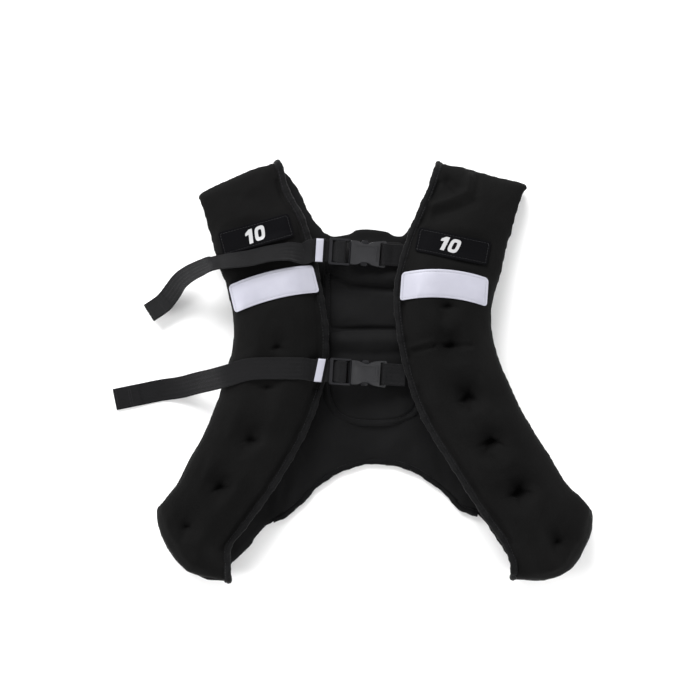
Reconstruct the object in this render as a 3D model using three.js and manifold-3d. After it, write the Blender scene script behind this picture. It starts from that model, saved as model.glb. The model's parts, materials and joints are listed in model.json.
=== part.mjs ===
// Weighted vest lying on its back, front side up, fastened by two side release buckles.
// Millimetres, +Z up. The origin is on the vest's centre line at the flat underside of the back panel,
// +X points to the right of someone who looks down at the front, +Y from the hem to the shoulders.

import * as THREE from 'three';
import { mergeVertices } from 'three/addons/utils/BufferGeometryUtils.js';
import Module from 'manifold-3d';

const wasm = await Module();
wasm.setup();

// Body of the vest
const halfWidth = 242;
const halfLength = 233;
const backThickness = 14;
const frontThickness = 28;
const lobeThickness = 26;
const lobeSeamThickness = 20;
const shoulderThickness = 11;
const edgeThickness = 5.5;
const shoulderFoldRadius = 9.5;
const lobeFoldRadius = 17;
const frontSwell = 26;
const backSwell = 20;
const seamGap = 0.3;

// Rolled edge binding
const bindingWall = 1.2;
const bindingReach = 6;
const bindingStrip = 4;

// Weight pad on the inside of the back panel
const padThickness = 9;
const padHalfWidth = 58;
const padLength = 204;
const padTop = 143;
const padBorder = 7;
const padEdge = 4;

// Webbing, keepers and sewn patches
const webbingWidth = 24;
const webbingThickness = 1.3;
const hemLength = 22;
const keeperLength = 12;
const keeperWall = 1;
const stripeWidth = 8;
const stripeThickness = 0.6;
const labelLength = 81;
const labelHeight = 27;
const bandLength = 95;
const bandHeight = 31;
const patchThickness = 1.2;

// Side release buckle
const buckleThickness = 8.6;
const buckleWidth = 29;
const bodyLength = 40;
const railWidth = 2.1;
const barThickness = 2.2;
const leftBarWidth = 3.3;
const slotWidth = 6.4;
const midBarWidth = 6.4;
const endSlotWidth = 4;
const endBarWidth = 3;
const prongThickness = 3;
const prongLength = 24;
const tongueHalf = 1.7;
const railHalf = 1.8;
const guideHalf = 2.6;
const loweredEnd = 2.4;
const waistStart = 11;
const waistEnd = 21;

// Lengths in the tables are shares of the half width (X) and the half length (Y).
const table = (columns, rows) =>
  rows.map((row) => Object.fromEntries(columns.map((name, i) => [name, row[i]])));

// A row for each section of a front panel, from the shoulder fold down to the fold of the lobe.
// thick is a share of frontThickness, lift runs from 0 at the shoulder to 1 at the lobe,
// and bow is in half widths.
const bandColumns = ['inX', 'inY', 'outX', 'outY', 'thick', 'lift', 'bow'];
const leftFrontRows = table(bandColumns, [
  [-0.407, 0.953, -0.775, 0.783, 0.39, 0.0, 0.0],
  [-0.382, 0.854, -0.755, 0.703, 0.43, 0.15, 0.0],
  [-0.314, 0.726, -0.723, 0.585, 0.52, 0.58, 0.0],
  [-0.268, 0.571, -0.686, 0.462, 0.72, 0.85, 0.0],
  [-0.232, 0.382, -0.641, 0.311, 0.93, 0.85, 0.0],
  [-0.205, 0.203, -0.632, 0.16, 1.0, 0.85, 0.0],
  [-0.209, 0.024, -0.655, 0.028, 1.0, 0.85, 0.0],
  [-0.277, -0.231, -0.736, -0.231, 1.0, 0.88, 0.0],
  [-0.418, -0.505, -0.85, -0.458, 1.0, 0.92, 0.0],
  [-0.555, -0.708, -0.882, -0.533, 0.97, 0.97, 0.02],
  [-0.645, -0.835, -0.898, -0.585, 0.94, 1.0, 0.045],
  [-0.645, -0.915, -0.902, -0.604, 0.93, 1.0, 0.058],
]);
const rightFrontRows = table(bandColumns, [
  [0.284, 0.943, 0.68, 0.821, 0.39, 0.0, 0.0],
  [0.255, 0.854, 0.659, 0.741, 0.43, 0.15, 0.0],
  [0.2, 0.726, 0.627, 0.608, 0.52, 0.58, 0.0],
  [0.145, 0.571, 0.591, 0.467, 0.72, 0.85, 0.0],
  [0.105, 0.382, 0.55, 0.316, 0.93, 0.85, 0.0],
  [0.114, 0.212, 0.55, 0.17, 1.0, 0.85, 0.0],
  [0.145, 0.033, 0.59, 0.03, 1.0, 0.85, 0.0],
  [0.223, -0.208, 0.686, -0.189, 1.0, 0.88, 0.0],
  [0.37, -0.462, 0.818, -0.42, 1.0, 0.92, 0.0],
  [0.495, -0.665, 0.884, -0.533, 0.97, 0.97, 0.025],
  [0.595, -0.811, 0.923, -0.59, 0.94, 1.0, 0.06],
  [0.632, -0.901, 0.932, -0.615, 0.93, 1.0, 0.078],
]);

// A row for each section between the folds of one half of the back panel. edge is 1 where the inner end
// is a free edge, at the neck and the hem, and 0 where it lies on the centre line inside the panel.
const halfColumns = ['inX', 'inY', 'outX', 'outY', 'thick', 'edge'];
const leftBackRows = table(halfColumns, [
  [-0.327, 0.83, -0.736, 0.675, 0.85, 1],
  [-0.255, 0.703, -0.705, 0.571, 0.95, 1],
  [-0.177, 0.632, -0.673, 0.486, 1, 1],
  [-0.091, 0.642, -0.645, 0.406, 1, 1],
  [0, 0.651, -0.618, 0.325, 1, 1],
  [0, 0.57, -0.604, 0.255, 1, 0],
  [0, 0.38, -0.595, 0.19, 1, 0],
  [0, 0.15, -0.6, 0.09, 1, 0],
  [0, -0.08, -0.63, -0.045, 1, 0],
  [0, -0.28, -0.69, -0.2, 1, 0],
  [0, -0.436, -0.745, -0.31, 1, 1],
  [-0.123, -0.467, -0.786, -0.392, 1, 1],
  [-0.245, -0.542, -0.823, -0.458, 1, 1],
  [-0.318, -0.623, -0.845, -0.5, 1, 1],
  [-0.395, -0.689, -0.862, -0.535, 1, 1],
  [-0.482, -0.736, -0.882, -0.566, 1, 1],
  [-0.568, -0.835, -0.893, -0.588, 1, 1],
]);
const rightBackRows = table(halfColumns, [
  [0.241, 0.83, 0.645, 0.712, 0.85, 1],
  [0.195, 0.722, 0.614, 0.604, 0.95, 1],
  [0.136, 0.637, 0.582, 0.495, 1, 1],
  [0.073, 0.646, 0.555, 0.406, 1, 1],
  [0, 0.651, 0.527, 0.325, 1, 1],
  [0, 0.57, 0.515, 0.255, 1, 0],
  [0, 0.38, 0.509, 0.19, 1, 0],
  [0, 0.15, 0.515, 0.09, 1, 0],
  [0, -0.08, 0.555, -0.045, 1, 0],
  [0, -0.28, 0.615, -0.19, 1, 0],
  [0, -0.436, 0.675, -0.29, 1, 1],
  [0.15, -0.458, 0.727, -0.382, 1, 1],
  [0.273, -0.528, 0.782, -0.462, 1, 1],
  [0.355, -0.599, 0.83, -0.507, 1, 1],
  [0.4, -0.656, 0.875, -0.54, 1, 1],
  [0.477, -0.675, 0.9, -0.566, 1, 1],
  [0.56, -0.79, 0.92, -0.597, 1, 1],
]);

// Stitched dents in a front panel: place, heading in degrees, length, width and depth in frontThickness.
const dentColumns = ['x', 'y', 'heading', 'long', 'wide', 'depth'];
const leftDents = table(dentColumns, [
  [-0.427, 0.104, 5, 0.55, 0.4, 0.22],
  [-0.477, -0.08, 5, 0.6, 0.42, 0.24],
  [-0.545, -0.325, 5, 0.6, 0.45, 0.26],
  [-0.686, -0.547, 20, 0.6, 0.45, 0.28],
  [-0.836, -0.731, 30, 0.5, 0.42, 0.22],
]);
const rightDents = table(dentColumns, [
  [0.341, 0.307, 0, 0.5, 0.4, 0.18],
  [0.355, 0.113, 0, 0.6, 0.42, 0.25],
  [0.427, -0.123, 0, 0.7, 0.48, 0.36],
  [0.536, -0.349, 0, 0.75, 0.48, 0.4],
  [0.664, -0.575, 10, 0.75, 0.48, 0.4],
  [0.823, -0.802, 0, 0.5, 0.42, 0.28],
  [0.4, 0.85, 120, 0.9, 0.4, 0.12],
  [0.32, 0.74, 30, 0.7, 0.4, 0.1],
]);

// Rows of the weight pad from the neck to its round foot: run down its length, width and height.
const padRows = table(['run', 'wide', 'high'], [
  [0, 0.62, 0.5],
  [0.04, 0.82, 0.8],
  [0.12, 0.95, 1],
  [0.2, 1, 0.95],
  [0.255, 1, 0.5],
  [0.32, 1, 0.72],
  [0.42, 1, 0.74],
  [0.475, 1, 0.5],
  [0.53, 1, 0.95],
  [0.6, 1, 0.85],
  [0.75, 1, 0.85],
  [0.86, 0.97, 0.8],
  [0.94, 0.8, 0.7],
  [0.98, 0.6, 0.5],
  [1, 0.35, 0.4],
]);

// Free part of each strap from its keeper to its end: place, roll in degrees about its run,
// and the height over the floor as a share of the height at which it leaves the panel.
const tailColumns = ['x', 'y', 'roll', 'high'];
const upperTail = table(tailColumns, [
  [-0.3, 0.552, 12, 0],
  [-0.373, 0.559, 34, 0],
  [-0.464, 0.55, 42, 0],
  [-0.555, 0.528, 42, 0],
  [-0.636, 0.517, 46, 0],
  [-0.705, 0.507, 50, 0.98],
  [-0.764, 0.488, 46, 0.85],
  [-0.827, 0.458, 42, 0.62],
  [-0.873, 0.425, 36, 0.42],
  [-0.909, 0.377, 28, 0.28],
  [-0.95, 0.325, 26, 0.17],
  [-1.02, 0.274, 26, 0.15],
]);
const lowerTail = table(tailColumns, [
  [-0.305, 0.012, 0, 0],
  [-0.418, 0.014, 0, 0],
  [-0.555, 0.009, 0, 0],
  [-0.655, -0.021, 0, 0.97],
  [-0.723, -0.04, 0, 0.72],
  [-0.795, -0.057, 0, 0.38],
  [-0.873, -0.078, 0, 0.12],
  [-0.964, -0.092, 0, 0],
  [-1.055, -0.111, 0, 0],
  [-1.178, -0.137, 0, 0],
]);

// Materials
const finish = (color, roughness, metalness = 0) =>
  new THREE.MeshStandardMaterial({ color, roughness, metalness });
const finishes = {
  shell: finish(0x1b1b1e, 0.9),
  lining: finish(0x18181a, 0.95),
  binding: finish(0x26262a, 0.8),
  webbing: finish(0x222225, 0.85),
  plastic: finish(0x35353a, 0.45),
  reflective: finish(0xcfcfdc, 0.4, 0.1),
  label: finish(0x1f1f23, 0.6),
};

const up = new THREE.Vector3(0, 0, 1);
const vest = new THREE.Group();

// Closed surface through rings of equal length; the two end rings are filled in flat.
function loft(rings) {
  const count = rings[0].length;
  const positions = rings.flatMap((ring) => ring.flatMap((p) => [p.x, p.y, p.z]));
  const faces = [];
  for (let k = 0; k + 1 < rings.length; k += 1) {
    for (let i = 0; i < count; i += 1) {
      const a = k * count + i;
      const b = k * count + ((i + 1) % count);
      faces.push(a, b, b + count, a, b + count, a + count);
    }
  }
  const last = (rings.length - 1) * count;
  for (const [a, b, c] of flatFill(rings[0])) {
    faces.push(a, c, b);
  }
  for (const [a, b, c] of flatFill(rings[rings.length - 1])) {
    faces.push(last + a, last + b, last + c);
  }
  return outward(positions, faces);
}

// Triangles of a flat ring, turned the way the ring runs.
function flatFill(ring) {
  const normal = new THREE.Vector3();
  ring.forEach((p, i) => {
    normal.add(new THREE.Vector3().crossVectors(p, ring[(i + 1) % ring.length]));
  });
  normal.normalize();
  const along = new THREE.Vector3().subVectors(ring[Math.floor(ring.length / 2)], ring[0]);
  along.addScaledVector(normal, -along.dot(normal)).normalize();
  const across = new THREE.Vector3().crossVectors(normal, along);
  const contour = ring.map((p) => new THREE.Vector2(p.dot(along), p.dot(across)));
  return THREE.ShapeUtils.triangulateShape(contour, []);
}

// Geometry whose faces point out, whichever way its rings ran.
function outward(positions, faces) {
  const corner = (i) => new THREE.Vector3().fromArray(positions, faces[i] * 3);
  let volume = 0;
  for (let i = 0; i < faces.length; i += 3) {
    volume += corner(i).dot(corner(i + 1).cross(corner(i + 2)));
  }
  if (volume < 0) {
    for (let i = 0; i < faces.length; i += 3) {
      [faces[i], faces[i + 1]] = [faces[i + 1], faces[i]];
    }
  }
  const geometry = new THREE.BufferGeometry();
  geometry.setAttribute('position', new THREE.Float32BufferAttribute(positions, 3));
  geometry.setIndex(faces);
  return geometry;
}

// Solid for joining and cutting, from a closed geometry.
function solidOf(geometry) {
  const bare = geometry.clone();
  bare.deleteAttribute('normal');
  bare.deleteAttribute('uv');
  const merged = mergeVertices(bare, 1e-4);
  const vertProperties = new Float32Array(merged.attributes.position.array);
  const triVerts = new Uint32Array(merged.index.array);
  return new wasm.Manifold(new wasm.Mesh({ numProp: 3, vertProperties, triVerts }));
}

function geometryOf(solid) {
  const mesh = solid.getMesh();
  const geometry = new THREE.BufferGeometry();
  geometry.setAttribute('position', new THREE.Float32BufferAttribute(mesh.vertProperties, 3));
  geometry.setIndex(Array.from(mesh.triVerts));
  return geometry;
}

function add(name, geometry, material) {
  const mesh = new THREE.Mesh(geometry, material);
  mesh.name = name;
  vest.add(mesh);
  return mesh;
}

// A soft piece cleared by the seam gap from what it lies on.
const lyingOn = (geometry, meshes) => geometryOf(meshes.reduce(
  (solid, mesh) => solid.subtract(solidOf(mesh.geometry).translate([0, 0, seamGap])), solidOf(geometry)));

// Height of the highest face under or over a place, or the floor.
const downward = new THREE.Raycaster();
function heightAt(meshes, x, y) {
  downward.set(new THREE.Vector3(x, y, 500), new THREE.Vector3(0, 0, -1));
  const hits = downward.intersectObjects(meshes, false);
  return hits.length > 0 ? hits[0].point.z : 0;
}

// Highest face within a small square round a place, so that a flat facet laid there stays clear.
function highestNear(meshes, x, y, reach) {
  let highest = 0;
  for (const dx of [-reach, 0, reach]) {
    for (const dy of [-reach, 0, reach]) {
      highest = Math.max(highest, heightAt(meshes, x + dx, y + dy));
    }
  }
  return highest;
}

// Sections of a panel
const frontColumns = [0, 0.08, 0.15, 0.24, 0.36, 0.5, 0.64, 0.76, 0.86, 0.95, 1];
const backColumns = [0, 0.08, 0.2, 0.5, 0.8, 0.93, 1];
const torsoSideColumns = [1, 0.86, 0.5, 0.15, 0];
const foldSteps = 3;
const shoulderAxis = shoulderFoldRadius + shoulderThickness / 2;
const lobeAxis = lobeFoldRadius + backThickness / 2;
const shoulderLift = shoulderAxis + shoulderFoldRadius - shoulderThickness / 2;
const lobeLift = lobeAxis + lobeFoldRadius - lobeThickness / 2;

const headingVector = (degrees) => {
  const angle = THREE.MathUtils.degToRad(degrees);
  return new THREE.Vector3(Math.cos(angle), Math.sin(angle), 0);
};

// Curve through the rows for three of their columns.
const through = (rows, pick) =>
  new THREE.CatmullRomCurve3(rows.map((row) => new THREE.Vector3(...pick(row))), false, 'centripetal');

// Flat stations between the folds, each with its ends, thickness and height of the side next to the torso.
function flatStations(rows, steps, face, rise) {
  const inner = through(rows, (row) => [row.inX * halfWidth, row.inY * halfLength, 0]);
  const outer = through(rows, (row) => [row.outX * halfWidth, row.outY * halfLength, 0]);
  const numbers = through(rows, (row) => [row.thick, row.level, row.bow]);
  const edges = through(rows, (row) => [row.edge, 0, 0]);
  const count = (rows.length - 1) * steps;
  return Array.from({ length: count + 1 }, (unused, i) => {
    const values = numbers.getPoint(i / count);
    return {
      inner: inner.getPoint(i / count),
      outer: outer.getPoint(i / count),
      thick: values.x,
      plane: values.y,
      bow: values.z,
      edge: Math.min(1, Math.max(0, edges.getPoint(i / count).x)),
      turn: 0,
      face,
      rise,
    };
  });
}

// Stations that carry an end station round a fold by a quarter turn, up to the thickness of the seam there.
function foldStations(end, radius, seamThickness, headings) {
  return Array.from({ length: foldSteps }, (unused, i) => ({
    ...end,
    headings,
    radius,
    axis: end.plane - end.face * (radius - end.thick / 2),
    thick: THREE.MathUtils.lerp(end.thick, seamThickness, (i + 1) / foldSteps),
    turn: ((i + 1) / foldSteps) * (Math.PI / 2),
  }));
}

// Heading of a fold at a share of the way from the inner end to the outer end.
const headingAt = (headings, share) =>
  headingVector(headings.inner + (headings.outer - headings.inner) * Math.sqrt(share));

// Place at a share across a station and a distance outward from its torso side.
function placeOn(station, share, distance) {
  const place = new THREE.Vector3().lerpVectors(station.inner, station.outer, share);
  const heading = headingAt(station.headings, share);
  place.addScaledVector(heading, station.bow * 4 * share * (1 - share));
  if (station.turn === 0) {
    place.z = station.plane + station.face * distance;
    return place;
  }
  const inside = station.radius - station.thick / 2;
  place.addScaledVector(heading, (inside + distance) * Math.sin(station.turn));
  place.z = station.axis + station.face * (inside + distance) * Math.cos(station.turn);
  place.z += station.face * (seamGap / 2) * Math.sin(station.turn);
  return place;
}

// Distance from a point to the nearest of the free edges of a panel, seen from above.
function edgeDistance(place, edges) {
  let nearest = Infinity;
  const closest = new THREE.Vector3();
  for (const [from, to] of edges) {
    const line = new THREE.Line3(from, to);
    line.closestPointToPoint(place, true, closest);
    nearest = Math.min(nearest, Math.hypot(place.x - closest.x, place.y - closest.y));
  }
  return nearest;
}

const swellShare = (distance, run) => {
  const share = Math.min(1, Math.max(0, distance / run));
  return Math.sqrt(1 - (1 - share) ** 2);
};

// Beside a bound edge the padding starts flatter than beside a turned one.
const boundSwellShare = (distance, run) => {
  const share = Math.min(1, Math.max(0, distance / run));
  return Math.sin((share * Math.PI) / 2) ** 1.4;
};

// Thickness at a share across a station.
function thicknessAt(station, share, panel) {
  const place = placeOn({ ...station, turn: 0 }, share, 0);
  const innerRun = edgeDistance(place, panel.innerEdges) - panel.strip;
  const outerRun = edgeDistance(place, panel.outerEdges);
  const swell = Math.min(boundSwellShare(innerRun, panel.swell), swellShare(outerRun, panel.swell));
  return edgeThickness + (station.thick - edgeThickness) * swell;
}

// Depth of the stitched dents at a place on a front panel.
function dentAt(place, dents) {
  let depth = 0;
  for (const dent of dents) {
    const away = new THREE.Vector3(place.x - dent.x * halfWidth, place.y - dent.y * halfLength, 0);
    const along = headingVector(dent.heading);
    const run = away.dot(along) / (dent.long * frontThickness);
    const side = away.dot(headingVector(dent.heading + 90)) / (dent.wide * frontThickness);
    depth += dent.depth * frontThickness * Math.exp(-run * run - side * side);
  }
  return depth;
}

// The edge flags mark where the inner ends are free, and neighbours of a free end close its run.
function edgeRuns(stations) {
  const inner = [];
  const outer = [];
  for (let k = 0; k + 1 < stations.length; k += 1) {
    if (stations[k].edge > 0.5 && stations[k + 1].edge > 0.5) {
      inner.push([stations[k].inner, stations[k + 1].inner]);
    }
    outer.push([stations[k].outer, stations[k + 1].outer]);
  }
  return { inner, outer };
}

// Share of the spare thickness that lies on the torso side: the back panel is flat outside.
const insideShare = (station) => THREE.MathUtils.lerp(station.rise, 0.5, station.turn / (Math.PI / 2));

function ringOf(station, panel) {
  const outerSide = panel.columns.map((share) => {
    const high = thicknessAt(station, share, panel);
    const start = insideShare(station) * (station.thick - high);
    const place = placeOn(station, share, start + high);
    const dent = Math.min(dentAt(place, panel.dents), high - edgeThickness);
    return dent > 0 ? placeOn(station, share, start + high - dent) : place;
  });
  const torsoSide = torsoSideColumns.map((share) => {
    const high = thicknessAt(station, share, panel);
    return placeOn(station, share, insideShare(station) * (station.thick - high));
  });
  return [...outerSide, ...torsoSide];
}

// Frames along the inner edge of a panel for its binding.
function edgeFrames(stations, middleOf) {
  return stations.map((station) => {
    const heading = headingAt(station.headings, 0);
    const normal = heading.multiplyScalar(Math.sin(station.turn));
    normal.addScaledVector(up, station.face * Math.cos(station.turn)).normalize();
    const inward = new THREE.Vector3().subVectors(station.outer, station.inner).normalize();
    return { edge: placeOn(station, 0, middleOf(station)), normal, inward };
  });
}

// Sweep of a section given by inward and upward offsets along the frames of an edge.
function sweepEdge(frames, section) {
  const rings = frames.map((frame, k) => {
    const before = frames[Math.max(0, k - 1)].edge;
    const after = frames[Math.min(frames.length - 1, k + 1)].edge;
    const tangent = new THREE.Vector3().subVectors(after, before).normalize();
    const inward = new THREE.Vector3().crossVectors(frame.normal, tangent).normalize();
    if (inward.dot(frame.inward) < 0) inward.negate();
    return section.map(([run, rise]) =>
      frame.edge.clone().addScaledVector(inward, run).addScaledVector(frame.normal, rise));
  });
  return loft(rings);
}

// Section of the binding, a U that wraps the strip of the edge, and of the two bars that clear its room.
const slotHalf = bindingStrip / 2 + seamGap;
const bindingHalf = slotHalf + bindingWall;
const bindingSection = [
  [bindingReach, bindingHalf], [-seamGap, bindingHalf], [-seamGap - bindingWall, 0],
  [-seamGap, -bindingHalf], [bindingReach, -bindingHalf],
  [bindingReach, -slotHalf], [-seamGap, -slotHalf], [-seamGap, slotHalf], [bindingReach, slotHalf],
];
const clearBar = (side) => {
  const reach = bindingReach + seamGap;
  const low = side * (bindingStrip / 2);
  const high = side * (bindingHalf + seamGap + 1);
  return [[-2, low], [reach, low], [reach, high], [-2, high]];
};
const clearEdge = (solid, frames) => [1, -1].reduce(
  (left, side) => left.subtract(solidOf(sweepEdge(frames, clearBar(side)))), solid);

// Front panels
function frontPanel(name, rows, dents, edgeRise, lobeHeadings) {
  const first = rows[0];
  const shoulderLine = new THREE.Vector3(
    (first.outX - first.inX) * halfWidth, (first.outY - first.inY) * halfLength, 0);
  const lean = THREE.MathUtils.radToDeg(Math.atan2(shoulderLine.y, shoulderLine.x));
  const heading = shoulderLine.x < 0 ? lean - 90 : lean + 90;
  const shoulderHeadings = { inner: heading, outer: heading };
  const levelled = rows.map((row, i) => ({
    ...row,
    thick: i === 0 ? shoulderThickness : row.thick * frontThickness,
    level: THREE.MathUtils.lerp(shoulderLift, lobeLift, row.lift),
    bow: row.bow * halfWidth,
    edge: 1,
  }));
  levelled[levelled.length - 1].thick = lobeThickness;
  const flat = flatStations(levelled, 3, 1, edgeRise).map((s) => ({ ...s, headings: lobeHeadings }));
  const start = { ...flat[0], headings: shoulderHeadings };
  const stations = [
    ...foldStations(start, shoulderFoldRadius, shoulderThickness, shoulderHeadings).reverse(),
    ...flat,
    ...foldStations(flat[flat.length - 1], lobeFoldRadius, lobeSeamThickness, lobeHeadings),
  ];
  const runs = edgeRuns(flat);
  const strip = bindingReach + seamGap + 1;
  const panel = {
    innerEdges: runs.inner,
    outerEdges: runs.outer,
    columns: frontColumns,
    strip,
    swell: frontSwell,
    dents,
  };
  const rings = stations.map((station) => ringOf(station, panel));
  const middle = (station) =>
    insideShare(station) * (station.thick - edgeThickness) + edgeThickness / 2;
  const frames = edgeFrames(stations, middle);
  const solid = clearEdge(solidOf(loft(rings)), frames);
  return {
    mesh: add(`${name}_front_panel`, geometryOf(solid), finishes.shell),
    binding: add(`${name}_front_binding`, sweepEdge(frames, bindingSection), finishes.binding),
    flat,
    frames,
    shoulderHeadings,
    lobeHeadings,
  };
}

// The straps press the left bound edge down and hold the right one up.
const left = frontPanel('left', leftFrontRows, leftDents, 0.15, { inner: 270, outer: 212 });
const right = frontPanel('right', rightFrontRows, rightDents, 0.4, { inner: 270, outer: 323 });

// Back panel: one half from the shoulder to the lobe. Its inner ends follow the neck, the centre
// and the hem.
function backHalf(rows, front, frontRows, side) {
  const ends = [frontRows[0], frontRows[frontRows.length - 1]];
  const shoulderShare = shoulderThickness / backThickness;
  const all = [
    { ...ends[0], thick: shoulderShare, edge: 1 },
    ...rows.map((row) => ({ ...row, bow: 0 })),
    { ...ends[1], thick: 1, edge: 1 },
  ].map((row) => ({
    ...row,
    thick: row.thick * backThickness,
    level: row.thick * backThickness,
    bow: row.bow * halfWidth,
  }));
  const flat = flatStations(all, 2, -1, 1).map((s) => ({ ...s, headings: front.lobeHeadings }));
  flat.forEach((station) => {
    station.inner.x = side * Math.max(0, side * station.inner.x);
  });
  const start = { ...flat[0], headings: front.shoulderHeadings };
  const stations = [
    ...foldStations(start, shoulderFoldRadius, shoulderThickness, front.shoulderHeadings).reverse(),
    ...flat,
    ...foldStations(flat[flat.length - 1], lobeFoldRadius, lobeSeamThickness, front.lobeHeadings),
  ];
  return { stations, runs: edgeRuns(flat), flat };
}

const leftHalf = backHalf(leftBackRows, left, leftFrontRows, -1);
const rightHalf = backHalf(rightBackRows, right, rightFrontRows, 1);
const neckAndHem = [...leftHalf.runs.inner, ...rightHalf.runs.inner];

const backSolids = [leftHalf, rightHalf].map((half) => {
  const panel = {
    innerEdges: neckAndHem,
    outerEdges: half.runs.outer,
    columns: backColumns,
    strip: bindingReach,
    swell: backSwell,
    dents: [],
  };
  return solidOf(loft(half.stations.map((station) => ringOf(station, panel))));
});

// Hem of the arch between the wings, from the left wing over the centre to the right wing.
const onHem = (station) => station.edge > 0.9 && station.inner.y < 0 && station.inner.y > -0.72 * halfLength;
const awayFromCentre = (station) => Math.abs(station.inner.x) > 4;
const hemOf = (half) => half.flat.filter(onHem).filter(awayFromCentre);
const hemStations = [...hemOf(leftHalf).reverse(), ...hemOf(rightHalf)];
const hemMiddle = bindingHalf;
const hemFrames = hemStations.map((station) => ({
  edge: new THREE.Vector3(station.inner.x, station.inner.y, hemMiddle),
  normal: up.clone(),
  inward: new THREE.Vector3(0, 1, 0),
}));
const centreHem = leftHalf.flat.filter(onHem).find((station) => !awayFromCentre(station));
hemFrames.splice(hemOf(leftHalf).length, 0, {
  edge: new THREE.Vector3(0, centreHem.inner.y, hemMiddle),
  normal: up.clone(),
  inward: new THREE.Vector3(0, 1, 0),
});

const backSolid = clearEdge(backSolids[0].add(backSolids[1]), hemFrames);
const back = add('back_panel', geometryOf(backSolid), finishes.shell);
add('back_hem_binding', sweepEdge(hemFrames, bindingSection), finishes.binding);

// Weight pad on the back panel between the fronts, with its rolls and channels across
const padCentre = 0.014 * halfWidth;
const padColumns = [-1, -0.86, -0.6, -0.2, 0.2, 0.6, 0.86, 1];
const padRings = padRows.map((row) => {
  const y = padTop - row.run * padLength;
  const half = row.wide * padHalfWidth;
  const place = (column, high) => {
    const x = padCentre + column * half;
    const base = highestNear([back], x, y, padBorder) + seamGap;
    return new THREE.Vector3(x, y, base + high);
  };
  const topSide = padColumns.map((column) => {
    const inside = (1 - Math.abs(column)) * half - padBorder;
    const swell = swellShare(Math.max(0, inside), padHalfWidth / 3);
    return place(column, padEdge * row.high + (row.high * padThickness - padEdge * row.high) * swell);
  });
  const underside = [1, 0.6, 0, -0.6, -1].map((column) => place(column, 0));
  return [...topSide, ...underside];
});
add('back_weight_pad', lyingOn(loft(padRings), [back]), finishes.lining);

// Patches sewn on the front panels: middle, heading in degrees and bend of the run as a share of its length.
const patchPlaces = {
  left_label_patch: { x: -0.525, y: 0.6415, heading: 15.7, bend: 0.0 },
  right_label_patch: { x: 0.366, y: 0.586, heading: -11.8, bend: 0.0 },
  left_reflective_band: { x: -0.448, y: 0.403, heading: 14, bend: 0.045 },
  right_reflective_band: { x: 0.327, y: 0.41, heading: -4, bend: 0.07 },
};

function patch(name, length, height, material, panel) {
  const { x, y, heading, bend } = patchPlaces[name];
  const along = headingVector(heading);
  const across = headingVector(heading + 90);
  const columns = [-1, -0.94, -0.7, -0.45, -0.2, 0, 0.2, 0.45, 0.7, 0.94, 1];
  const lines = [-1, -0.35, 0.35, 1];
  const rings = columns.map((column) => {
    const corner = Math.abs(column) === 1 ? 0.8 : 1;
    const row = (line, high) => {
      const place = new THREE.Vector3(x * halfWidth, y * halfLength, 0);
      place.addScaledVector(along, (column * length) / 2);
      place.addScaledVector(across, (line * corner * height) / 2 - bend * length * column * column);
      place.z = highestNear([panel.mesh, panel.binding], place.x, place.y, 4) + seamGap + high;
      return place;
    };
    return [
      ...lines.map((line) => row(line, patchThickness)),
      ...[...lines].reverse().map((line) => row(line, 0)),
    ];
  });
  return add(name, lyingOn(loft(rings), [panel.mesh, panel.binding]), material);
}

const leftLabel = patch('left_label_patch', labelLength, labelHeight, finishes.label, left);
patch('right_label_patch', labelLength, labelHeight, finishes.label, right);
const leftBand = patch('left_reflective_band', bandLength, bandHeight, finishes.reflective, left);
patch('right_reflective_band', bandLength, bandHeight, finishes.reflective, right);

// Flat webbing along a path of places with the direction across it and its thickness.
function ribbon(path, width) {
  const rings = path.map((point, k) => {
    const before = path[Math.max(0, k - 1)].at;
    const after = path[Math.min(path.length - 1, k + 1)].at;
    const arriving = new THREE.Vector3().subVectors(point.at, before).normalize();
    const leaving = new THREE.Vector3().subVectors(after, point.at).normalize();
    const run = new THREE.Vector3().addVectors(arriving, leaving).normalize();
    const straight = k === 0 || k === path.length - 1 ? 1 : Math.max(0.6, run.dot(arriving));
    const normal = new THREE.Vector3().crossVectors(run, point.across).normalize();
    const half = (point.thick ?? webbingThickness) / 2 / straight;
    return [[1, 1], [-1, 1], [-1, -1], [1, -1]].map(([side, face]) => point.at.clone()
      .addScaledVector(point.across, (side * width) / 2)
      .addScaledVector(normal, face * half));
  });
  return loft(rings);
}

// Ladder of the male half, measured from the joint of the two halves towards the left.
const shoulderRun = -1;
const midRight = shoulderRun - slotWidth;
const midLeft = midRight - midBarWidth;
const leftRight = midLeft - slotWidth;
const ladderEnd = leftRight - leftBarWidth;
const nearLayer = barThickness / 2 + seamGap + webbingThickness / 2;
const farLayer = nearLayer + webbingThickness + seamGap;
const endBarMiddle = bodyLength - endBarWidth / 2;
const halfBuckle = buckleWidth / 2;

// Places of the two buckles as shares, how far the webbing dips to the ladder, and the slant of the keeper.
const buckleYaw = -3.5;
const strapDip = 0.8;
const keeperRun = ladderEnd - 4 - keeperLength / 2;
const keeperStack = webbingThickness * 2 + seamGap * 3;
const fastenings = {
  upper: { x: -0.1, y: 0.559, slant: 0, tail: upperTail },
  lower: { x: -0.098, y: -0.005, slant: -8, tail: lowerTail },
};

// Heights of the bound edge of a front panel where a strap crosses it.
const edgeHeights = (panel, y) => panel.frames
  .filter((frame) => frame.normal.z > 0.99 && Math.abs(frame.edge.y - y) < webbingWidth * 0.75)
  .map((frame) => frame.edge.z);

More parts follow.
